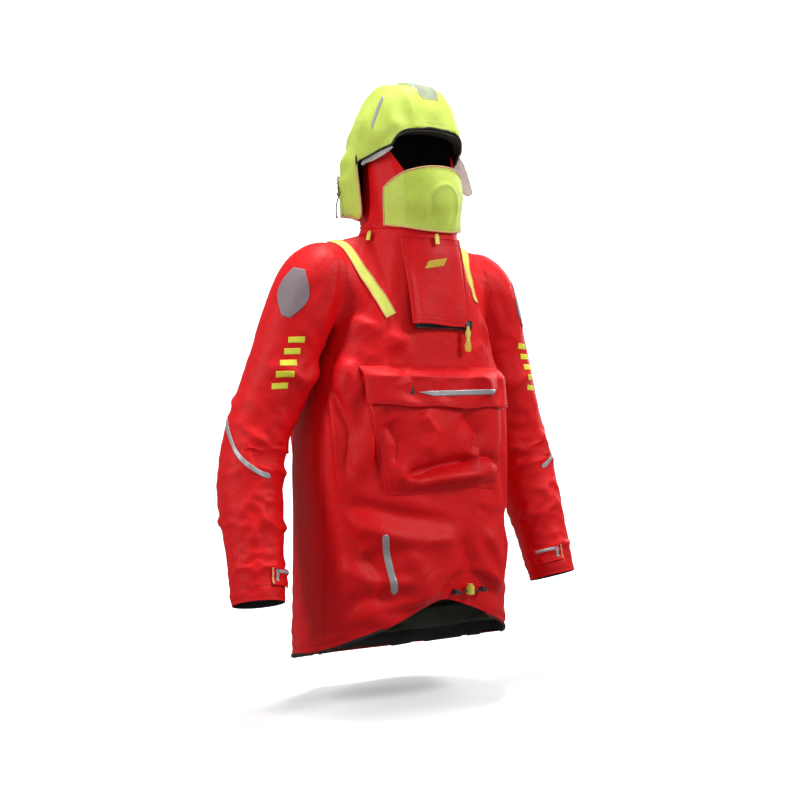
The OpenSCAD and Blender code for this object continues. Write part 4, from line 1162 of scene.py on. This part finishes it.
# ---- Chest: storm flap, zip, pocket ----
def storm_pt(u, t):
    u, t = np.broadcast_arrays(np.asarray(u, float), np.asarray(t, float))
    h = lerp(lerp(-0.30, -0.29, t), lerp(0.28, 0.24, t), u)
    return yoke_pt(h, lerp(0.02, 0.92, t), -1) - np.stack([0 * u, 0.006 + 0.007 * (1 - t) ** 2, 0 * u], -1)


def make_storm_flap():
    u = np.linspace(0, 1, 70)[None]
    t = np.linspace(0, 1, 76)[:, None]
    g = storm_pt(u, t)
    lift = (-0.0035 * bell(u - 0.05, 0.05) * smooth((0.9 - t) / 0.5)
            - 0.0022 * np.sin(7 * u + 2.5 * t + 0.6) * (1 - t)
            + 0.0030 * bell(u - 0.62 - 0.2 * t, 0.10) * (1 - t))
    settle = np.maximum(smooth((t - 0.78) / 0.2), smooth((u - 0.86) / 0.14))
    g[..., 1] += lift * (1 - settle)
    g[..., 2] += (0.0022 * np.sin(6.0 * u + 0.4) - 0.013) * (1 - t) ** 3
    g = lerp(g, laid(g, CLOTH, 0.0036, 0.04), settle[..., None])
    flap = thick_sheet("storm_flap", g, 0.0030, RED, LINING, rim=0.0007)
    wear(flap, "storm_flap", "storm_flap")
    tree = tree_of(flap)
    rows = [sewn_line("flap_stitches", inset_loop(g, k, k), tree) for k in (3, 6)]
    wear(join("storm_flap_stitching", rows), "storm_flap")
    a = np.linspace(0.30, 0.56, 22)[None]
    b = np.linspace(0.60, 0.70, 9)[:, None]
    badge = laid(storm_pt(a + 0.6 * (b - 0.65), b + 0.05 * (a - 0.3) / 0.26), tree, 0.0008, 0.02)
    emblem = thick_sheet("chest_emblem", badge, 0.0009, TOGGLE_THREAD, rim=0.0003)
    wear(emblem, "storm_flap", "chest_emblem")
    wear(tube("storm_flap_edge", resample(edge_of(g), 0.004)[:-1], 0.0012, 6, RED, closed=True), "storm_flap")


def paint(node, mat):
    """A CAD part whose shape is right keeps it and takes a finish."""
    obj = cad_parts[node]
    for slot in obj.material_slots:
        slot.material = mat
    if not obj.material_slots:
        obj.data.materials.append(mat)


PULL_X, PULL_Y, PULL_TOP, PULL_LEN = 0.050, -0.1484, -0.1855, 0.0485
PULL_SHAPE = [(0, 0.0021), (0.09, 0.0036), (0.18, 0.0040), (0.27, 0.0062), (0.36, 0.0056), (0.48, 0.0040),
              (0.58, 0.0046), (0.72, 0.0070), (0.85, 0.0074), (0.95, 0.0060), (1, 0.0040)]


def make_zip():
    paint("entry_zip_teeth", HARDWARE)
    paint("zip_slider", ZIP_METAL)
    x = np.linspace(-0.064, 0.064, 90)[None]
    z = np.linspace(-0.193, -0.175, 14)[:, None]
    y = -0.1423 + 0.0009 * bell(z + 0.184, 0.0035) + 0.0002 * np.sin(900 * x)
    tape = thick_sheet("entry_zip_tape", np.stack([x + 0 * z, y, z + 0 * x], -1), 0.0018, LINING)
    wear(tape, "torso", "entry_zip_tape")
    x = x[0]
    rows = [stitches("zip_tape_stitches", np.stack([x, 0 * x - 0.1424, 0 * x + height], 1),
                     np.tile([[0, -1.0, 0]], (90, 1)), RED_THREAD) for height in (-0.1915, -0.1765)]
    wear(join("zip_tape_stitching", rows), "torso")


def make_zip_pull():
    rows, cols = 26, 24
    a = np.linspace(0, 2 * math.pi, cols, endpoint=False)[None]
    for part, start, end, finish in (("top", 0, 0.60, PULL), ("tip", 0.60, 1.0, PULL_TIP)):
        t = np.linspace(start, end, rows)[:, None]
        thick = 0.0024 * (0.7 + 0.3 * np.sin(math.pi * t))
        ribs = 0.0003 * np.sin(300 * t) * (t > 0.64)
        ring = np.stack([PULL_X + spow(np.cos(a), 0.7) * curve(PULL_SHAPE, t),
                         PULL_Y + thick * spow(np.sin(a), 0.7) - ribs,
                         PULL_TOP - PULL_LEN * t + 0 * a], -1)
        last = (rows - 1) * cols
        faces = grid_faces(rows, cols, wrap=True)
        faces += [tuple(range(cols - 1, -1, -1)), tuple(range(last, last + cols))]
        piece = new_mesh("zip_pull_" + part, ring.reshape(-1, 3), faces, [finish])
        wear(piece, "zip_pull", *(["zip_pull"] if part == "top" else []))
    back, up = np.array([0, 1.0, 0]), np.array([0, 0, 1.0])
    loop = circle(np.array([PULL_X, PULL_Y, -0.184]), 0.0024, back, up, 24)
    wear(tube("zip_pull_ring", loop, 0.0009, 8, ZIP_METAL, closed=True), "zip_pull")


FLAP_HALF, FLAP_TOP, FLAP_DROP, BAG_TOP, BAG_LOW, PROUD = 0.161, -0.262, 0.072, -0.278, -0.490, 0.022
POCKET_FOLDS = [
    ((-0.105, -0.462), (-0.01, -0.440), (0.07, -0.430), 0.013, -0.014),
    ((-0.10, -0.485), (0.0, -0.468), (0.09, -0.462), 0.012, 0.008),
    ((0.06, -0.428), (0.10, -0.430), (0.145, -0.452), 0.012, -0.009),
    ((-0.13, -0.36), (-0.11, -0.40), (-0.115, -0.45), 0.016, -0.006),
    ((0.02, -0.345), (0.06, -0.385), (0.05, -0.43), 0.020, -0.006),
    ((-0.07, -0.34), (-0.04, -0.38), (-0.06, -0.43), 0.022, 0.005),
]
FLAP_FOLDS = [
    ((0.04, -0.262), (0.08, -0.29), (0.09, -0.325), 0.022, 0.006),
    ((-0.10, -0.264), (-0.08, -0.29), (-0.09, -0.33), 0.026, -0.004),
    ((-0.02, -0.262), (-0.01, -0.29), (-0.03, -0.33), 0.028, -0.003),
    ((0.12, -0.27), (0.125, -0.30), (0.11, -0.335), 0.016, -0.004),
]


def cloth_y(x, z):
    """Front of the draped cloth at each place."""
    out = np.empty(x.shape)
    for k in np.ndindex(out.shape):
        hit = CLOTH.ray_cast(Vector((x[k], -0.4, z[k])), Vector((0, 1, 0)), 0.4)[0]
        out[k] = (hit[1] + LOOP_Y) if hit is not None else front_y(x[k], z[k])
    return out


def make_pocket_bag():
    u = np.linspace(-1, 1, 120)[None]
    t = np.linspace(0, 1, 100)[:, None]
    x = u * (FLAP_HALF - 0.005 - 0.030 * (1 - t) ** 2)
    z = lerp(BAG_LOW, BAG_TOP, t) + 0.004 * np.sin(3 * u + 0.5) * (1 - t) ** 3
    inside = (1 - np.abs(u) ** 8) * smooth(t * 6)
    waves = 1 + 0.10 * np.sin(5 * u + 3 * t) * smooth((0.75 - t) / 0.2)
    proud = PROUD * inside * lerp(1.1, 0.8, t) * waves
    cloth = cloth_y(x, z)
    base = np.minimum(cloth - 0.0012, lerp(cloth, front_y(x, z) - 0.0046, smooth(inside / 0.4)))
    y = base - proud - fold_height(x, z, POCKET_FOLDS) * inside + 0.0008 * np.sin(60 * x + 41 * z) * inside
    g = np.stack([x, np.minimum(y, cloth - 0.0012), z], -1)
    bag = thick_sheet("pocket_bag", g, 0.0022, RED, LINING, rim=0.0005)
    wear(bag, "torso", "pocket_bag", "pocket_closure_strip")
    tree = tree_of(bag)
    lines = [np.concatenate([g[:70:-1, k], g[70:k:-1, k], g[k, k:-k], g[k:, -k]]) for k in (2, 5)]
    rows = [sewn_line("bag_stitches", line, tree) for line in lines]
    wear(join("pocket_bag_stitching", rows), "torso")
    x, z = np.meshgrid(np.linspace(-0.09, 0.09, 60), np.linspace(-0.315, -0.298, 8))
    strip = laid(np.stack([x, 0 * x - 0.20, z], -1), tree, 0.0016, 0.08, hint=(0, -1, 0))
    wear(thick_sheet("pocket_hook_strip", strip, 0.0014, BINDING), "torso")


def make_pocket_flap():
    u = np.linspace(-1, 1, 120)[None]
    t = np.linspace(0, 1, 60)[:, None]
    x = u * FLAP_HALF + 0 * t
    z = FLAP_TOP - (FLAP_DROP + 0.003 * np.sin(2.2 * u + 0.9) + 0.0016 * np.sin(9 * u)) * (1 - t)
    proud = lerp(PROUD * (1 - np.abs(u) ** 8 * 0.6) + 0.006, 0.003, smooth((t - 0.72) / 0.28))
    folds = fold_height(x, z, FLAP_FOLDS) * smooth((1 - t) / 0.25)
    folds = folds + 0.0018 * np.sin(6 * u + 1.0) * (1 - t) ** 2
    y = front_y(x * 0.985, z) - 0.004 - proud - folds
    sewn_y = cloth_y(x[-1:], z[-1:]) - 0.0022
    y = lerp(y, np.minimum(y, sewn_y), smooth((t - 0.80) / 0.2))
    g = np.stack([x, lerp(y, sewn_y, smooth((t - 0.93) / 0.07)), z], -1)
    flap = thick_sheet("pocket_flap", g, 0.0030, RED, LINING, rim=0.0008)
    wear(flap, "pocket_flap", "pocket_flap")
    tree = tree_of(flap)
    rows = [sewn_line("flap_stitches", inset_loop(g, i, j), tree) for i, j in ((3, 2), (6, 4))]
    wear(join("pocket_flap_stitching", rows), "pocket_flap")
    start, stop = -0.45, 0.62
    a = np.linspace(start, stop, 90)[None]
    b = np.linspace(-0.5, 0.5, 6)[:, None]
    end = np.minimum(1, np.minimum((a - start) / 0.16, (stop - a) / 0.06))
    z = -0.3095 + 0.004 * (a - 0.1) + b * 0.0092 * np.maximum(end, 0.06) + 0.003 * (1 - end)
    stripe = laid(np.stack([a * FLAP_HALF + 0 * b, 0 * z - 0.20, z], -1), tree, 0.0012, 0.08, hint=(0, -1, 0))
    silver = thick_sheet("pocket_flap_stripe", stripe, 0.0010, SILVER, rim=0.0002)
    wear(silver, "pocket_flap", "pocket_flap_stripe")


# ---- Sleeves ----
def sleeve_grid(side, psi, l, lift):
    """A grid laid on a sleeve; psi in degrees on a left sleeve is mirrored on the right one."""
    g = mirror(sleeve_pt(np.radians(psi), l), side)
    c = mirror(sleeve_axis(np.asarray(l, float) + 0 * psi)[0], side)
    if side == RIGHT:
        g, c = g[:, ::-1], c[:, ::-1]
    n = unit(g - c)
    out = np.empty_like(g)
    for k in np.ndindex(g.shape[:2]):
        hit = CLOTH.ray_cast(Vector(c[k] - BACK), Vector(n[k]), 0.12)[0]
        out[k] = (np.array(hit) + BACK if hit is not None else g[k]) + n[k] * lift
    return out


def follow_arm(piece):
    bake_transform(piece)


def follow_shoulder(piece):
    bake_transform(piece)


PATCH_OUTLINE = [(0, 0.30), (0.30, 0.92), (0.34, 0.98), (0.66, 1.0), (0.70, 0.95), (1, 0.45)]
FLASH_BARS = 5
STRIPE_LINE = [(-96, 0.402), (-84, 0.398), (-38, 0.362), (-11, 0.330), (44, 0.286)]


def make_sleeve_marks(side):
    """Shoulder patch, printed bars and the bent reflective stripe."""
    name = SIDE_NAME[side]
    v = np.linspace(0, 1, 34)[:, None]
    w = np.linspace(-1, 1, 30)[None]
    psi = -38 + 25 * w * curve(PATCH_OUTLINE, v) + 8 * (v - 0.5)
    g = sleeve_grid(side, psi, lerp(0.100, 0.008, v) + 0 * w, 0.0014)
    patch = thick_sheet(name + "_shoulder_patch", g, 0.0013, PATCH, rim=0.0003)
    follow_shoulder(patch)
    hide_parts(name + "_shoulder_patch")

    bars = []
    a = np.linspace(-82, -58, 18)[None]
    b = np.linspace(0, 1, 6)[:, None]
    for k in range(FLASH_BARS):
        g = sleeve_grid(side, a + 3 * (b - 0.5), 0.226 - 0.022 * k - 0.010 * b + 0.00045 * (a + 70), 0.0008)
        bars.append(thick_sheet("flash_bar", g, 0.0008, FLASH, rim=0.0002))
    wear(join(name + "_sleeve_flash", bars), name + "_upper_arm", name + "_sleeve_flash")

    start, stop = STRIPE_LINE[0][0], STRIPE_LINE[-1][0]
    a = np.linspace(start, stop, 80)[None]
    b = np.linspace(0.5, -0.5, 6)[:, None]
    width = 0.0105 * np.minimum(1, (np.minimum(a - start, stop - a) + 2) / 6)
    g = sleeve_grid(side, a + 0 * b, curve(STRIPE_LINE, a) + b * width, 0.0012)
    stripe = thick_sheet(name + "_sleeve_stripe", g, 0.0010, SILVER, rim=0.0002)
    follow_arm(stripe)
    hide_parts(name + "_sleeve_stripe")


def make_sleeve_seams(side):
    name = SIDE_NAME[side]
    turn = np.linspace(-180, 180, 240)
    rows = []
    for l in (SLEEVE_LEN - 0.008, SLEEVE_LEN - 0.026):
        line = sleeve_grid(side, np.stack([turn, turn]), l + np.array([[0], [0.0002]]) + 0 * turn, 0.0002)[0]
        rows.append(stitches("cuff_stitches", line, unit(line - mirror(sleeve_axis(l)[0], side)), RED_THREAD))
    wear(join(name + "_cuff_stitching", rows), name + "_forearm")
    l = np.linspace(0.12, SLEEVE_LEN - 0.01, 220)
    middle = mirror(sleeve_axis(l)[0], side)
    for angle, tag in ((150, "under"), (143, "under_edge")):
        line = sleeve_grid(side, angle + np.array([[0.0], [0.5]]) + 0 * l, np.stack([l, l]), 0.0002)[0]
        line = line if side == LEFT else line[::-1]
        seam = stitches(name + "_" + tag + "_seam", line, unit(line - middle), RED_THREAD)
        follow_arm(seam)


def make_wrist_seal(side):
    name = SIDE_NAME[side]
    psi = np.linspace(-math.pi, math.pi, 96, endpoint=False)[None]
    t = np.linspace(0, 1, 44)[:, None]
    l = (FORE_LEN - lerp(0.010, 0.066, t))[..., None]
    ribs = 0.0011 * np.sin(38 * psi) * (1 - 0.6 * t) + 0.0010 * np.sin(70 * t)
    r = lerp(0.034, 0.0425, smooth(t * 1.1)) + ribs
    e1, e2 = sleeve_frame(FORE_D[None])
    p = ELBOW + l * FORE_D + r[..., None] * (np.cos(psi)[..., None] * e1 + np.sin(psi)[..., None] * e2)
    p = mirror(p, side)
    seal = thick_sheet(name + "_wrist_seal", p if side == LEFT else p[:, ::-1], 0.0018, SEAL, wrap=True)
    wear(seal, name + "_forearm", name + "_wrist_seal")


def make_cuff_tab(side):
    name = SIDE_NAME[side]
    body = name + "_cuff_tab"
    a = np.linspace(-160, -96, 40)[None]
    b = np.linspace(0, 1, 16)[:, None]
    g = sleeve_grid(side, a + 0 * b, SLEEVE_LEN - 0.026 - 0.028 * b + 0 * a, 0.0032)
    middle, flatter = mirror(sleeve_axis(SLEEVE_LEN - 0.04)[0], side), np.array([1, 1, 0.3])
    bow = 0.0022 * smooth((-118 - a) / 40) + 0.0008 * np.sin(10 * b + 0.05 * a)
    g = g + unit((g - middle) * flatter) * (bow if side == LEFT else bow[:, ::-1])[..., None]
    tab = thick_sheet(body, g, 0.0022, RED, LINING, rim=0.0006)
    wear(tab, body, body)
    wear(tube(body + "_edge", resample(edge_of(g), 0.003)[:-1], 0.0010, 6, RED, closed=True), body)
    cols = g if side == LEFT else g[:, ::-1]
    wear(tube(body + "_end", resample(cols[:, -1], 0.003), 0.0017, 8, ORANGE_EDGE), body)
    bars = []
    for bar in (cols[11:15, 4:34], cols[3:15, 30:35]):          # long and short bar of the L
        bar = bar if side == LEFT else bar[:, ::-1]
        bar = bar + unit((bar - middle) * flatter) * 0.0010
        bars.append(thick_sheet("reflector_bar", bar, 0.0008, SILVER, rim=0.0002))
    wear(join(name + "_cuff_reflector", bars), body, name + "_cuff_reflector")


def make_hem_drawcord():
    """The hem drawcord between its two eyelets."""
    lo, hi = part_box("hem_drawcord")
    t = np.linspace(-1, 1, 60)
    path = np.stack([lerp(lo[0], hi[0], (t + 1) / 2), (lo[1] + hi[1]) / 2 + 0.0003 * np.cos(9 * t),
                     (lo[2] + hi[2]) / 2 - 0.0016 * bell(np.abs(t) - 0.55, 0.16)], 1)
    cord = tube("hem_drawcord_braid", path + BACK, 0.0015, 10, BINDING)
    wear(cord, "torso", "hem_drawcord")


def make_hood_drawcord_end():
    """The free end of the hood's rear drawcord, with its knot."""
    up = np.array([0, 0, 1.0])
    root = hood_pt(0.80, 0.10)
    out = unit(root - HOOD_MID)
    side = unit(np.cross(out, up))
    s = np.linspace(0, 1, 50)[:, None]
    tail = root + out * (0.0040 + 0.0075 * np.sin(2.2 * s)) - side * 0.010 * s - up * (0.040 * s**1.3)
    cord = tube("hood_drawcord_end", tail, 0.0011, 8, BINDING)
    wear(cord, "hood")
    knot = circle(tail[-1], 0.0016, side, out, 20)
    wear(tube("hood_drawcord_knot", knot, 0.0013, 8, BINDING, closed=True), "hood")


def make_hanger_loop():
    """Webbing loop at the back of the neck."""
    lo, hi = np.array(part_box("hanger_loop")) + BACK
    z = np.linspace(lo[2] + 0.001, hi[2] - 0.001, 70)
    middle, reach = (lo[2] + hi[2]) / 2, (hi[2] - lo[2]) / 2
    bow = np.clip(1 - ((z - middle) / reach) ** 6, 0, 1)
    path = resample(np.stack([0 * z, lerp(hi[1] - 0.0010, lo[1] + 0.0012, bow), z], 1), 0.001)
    g = ribbon(path, 0.012, np.cross(np.gradient(path, axis=0), [1.0, 0, 0]), across=9)
    g[..., 1] -= 0.0002 * np.sin(np.linspace(-6, 6, 9))[:, None]
    wear(thick_sheet("hanger_loop", g, 0.0013, BINDING, rim=0.0003), "torso", "hanger_loop")


# ---- Building the pieces ----
garment = make_garment()
CLOTH = tree_of(garment)
body_cloth, *sleeve_cloths = split_garment(garment)
wear(body_cloth, "torso", "front_body_panel", "back_body_panel", "right_side_panel", "left_side_panel")
for side, (shoulder, arm) in ((RIGHT, sleeve_cloths[:2]), (LEFT, sleeve_cloths[2:])):
    follow_shoulder(shoulder)
    follow_arm(arm)
    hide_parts(SIDE_NAME[side] + "_upper_sleeve")
    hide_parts(SIDE_NAME[side] + "_forearm_sleeve", SIDE_NAME[side] + "_elbow_gusset")
    make_sleeve_marks(side)
    make_sleeve_seams(side)
    make_wrist_seal(side)
    make_cuff_tab(side)
make_body_stitching()
make_shoulder_tape(RIGHT)
make_shoulder_tape(LEFT)
make_hip_stripe()
make_hem_inside()
make_storm_flap()
make_zip()
make_zip_pull()
make_pocket_bag()
make_pocket_flap()
make_hanger_loop()
make_hem_drawcord()
make_hood_drawcord_end()
for moulded in ("right_collar_toggle", "front_collar_toggle", "hem_cord_lock", "hem_lock_button"):
    paint(moulded, TOGGLE)
paint("hem_eyelets", HARDWARE)
make_hood()
make_collar()
make_mask()


# ---- Floor and light ----
FLOOR_Z = -0.892
FLOOR_SIDES = 64
FLOOR_RINGS = [(0.0, 0.0), (1.0, 0.0), (2.5, 0.0), (4.0, 0.1), (5.0, 0.6), (5.6, 1.6), (5.8, 3.2)]


def make_floor():
    """A pale floor that sweeps up all round into the backdrop. Its glow is painted light: weak round the
    middle, so the cast shadow under the jacket stays dark, and strong farther out, so the floor and the sweep
    read white.
    """
    a = np.arange(FLOOR_SIDES) * 2 * math.pi / FLOOR_SIDES
    points = np.array([[r * math.cos(k), r * math.sin(k), FLOOR_Z + z] for r, z in FLOOR_RINGS for k in a])
    mat, tree, shader, coords = node_material("pale_floor")
    pale = ramp(tree, noise(tree, coords, 3.0), [(0.2, (0.90, 0.90, 0.90)), (0.8, (0.93, 0.93, 0.93))])
    tree.links.new(pale, shader.inputs["Base Color"])
    set_values(shader, Roughness=0.75, Emission_Color=(1.0, 1.0, 1.0, 1))
    distance = tree.nodes.new("ShaderNodeVectorMath")
    distance.operation = "LENGTH"
    tree.links.new(coords, distance.inputs[0])
    # The emission strength is painted light: 0.30 within 0.9 m of the middle, where the cast shadow falls,
    # rising to 0.95 beyond 2.4 m.
    painted_floor_light = tree.nodes.new("ShaderNodeMapRange")
    painted_floor_light.interpolation_type = "SMOOTHSTEP"
    for socket, value in zip(painted_floor_light.inputs[1:5], (0.9, 2.4, 0.30, 0.95)):
        socket.default_value = value
    tree.links.new(distance.outputs["Value"], painted_floor_light.inputs[0])
    tree.links.new(painted_floor_light.outputs[0], shader.inputs["Emission Strength"])
    floor = new_mesh("floor", points, grid_faces(len(FLOOR_RINGS), FLOOR_SIDES, wrap=True), [mat])
    floor.visible_diffuse = False
    floor.visible_glossy = False


def add_light(name, place, size, power):
    data = bpy.data.lights.new(name, "AREA")
    data.shape = "RECTANGLE"
    data.size, data.size_y = size
    data.energy = power
    light = bpy.data.objects.new(name, data)
    light.location = place
    light.rotation_euler = (TARGET - Vector(place)).to_track_quat("-Z", "Y").to_euler()
    bpy.context.scene.collection.objects.link(light)


make_floor()
add_light("key", (1.7, -2.3, 1.7), (0.8, 0.8), 62)
add_light("left_rim", (-2.6, 0.1, 0.8), (0.4, 1.8), 34)
add_light("front_fill", (-0.9, -3.2, 0.2), (1.6, 1.6), 7)
add_light("right_rim", (2.4, 1.0, 0.6), (0.6, 1.8), 22)
add_light("top", (0.1, 0.0, 2.9), (0.6, 0.6), 95)

world = bpy.data.worlds.new("studio")
world.use_nodes = True
world.node_tree.nodes["Background"].inputs[0].default_value = (1.0, 1.0, 1.0, 1)
world.node_tree.nodes["Background"].inputs[1].default_value = 0.34
bpy.context.scene.world = world
bpy.context.scene.view_settings.view_transform = "Standard"
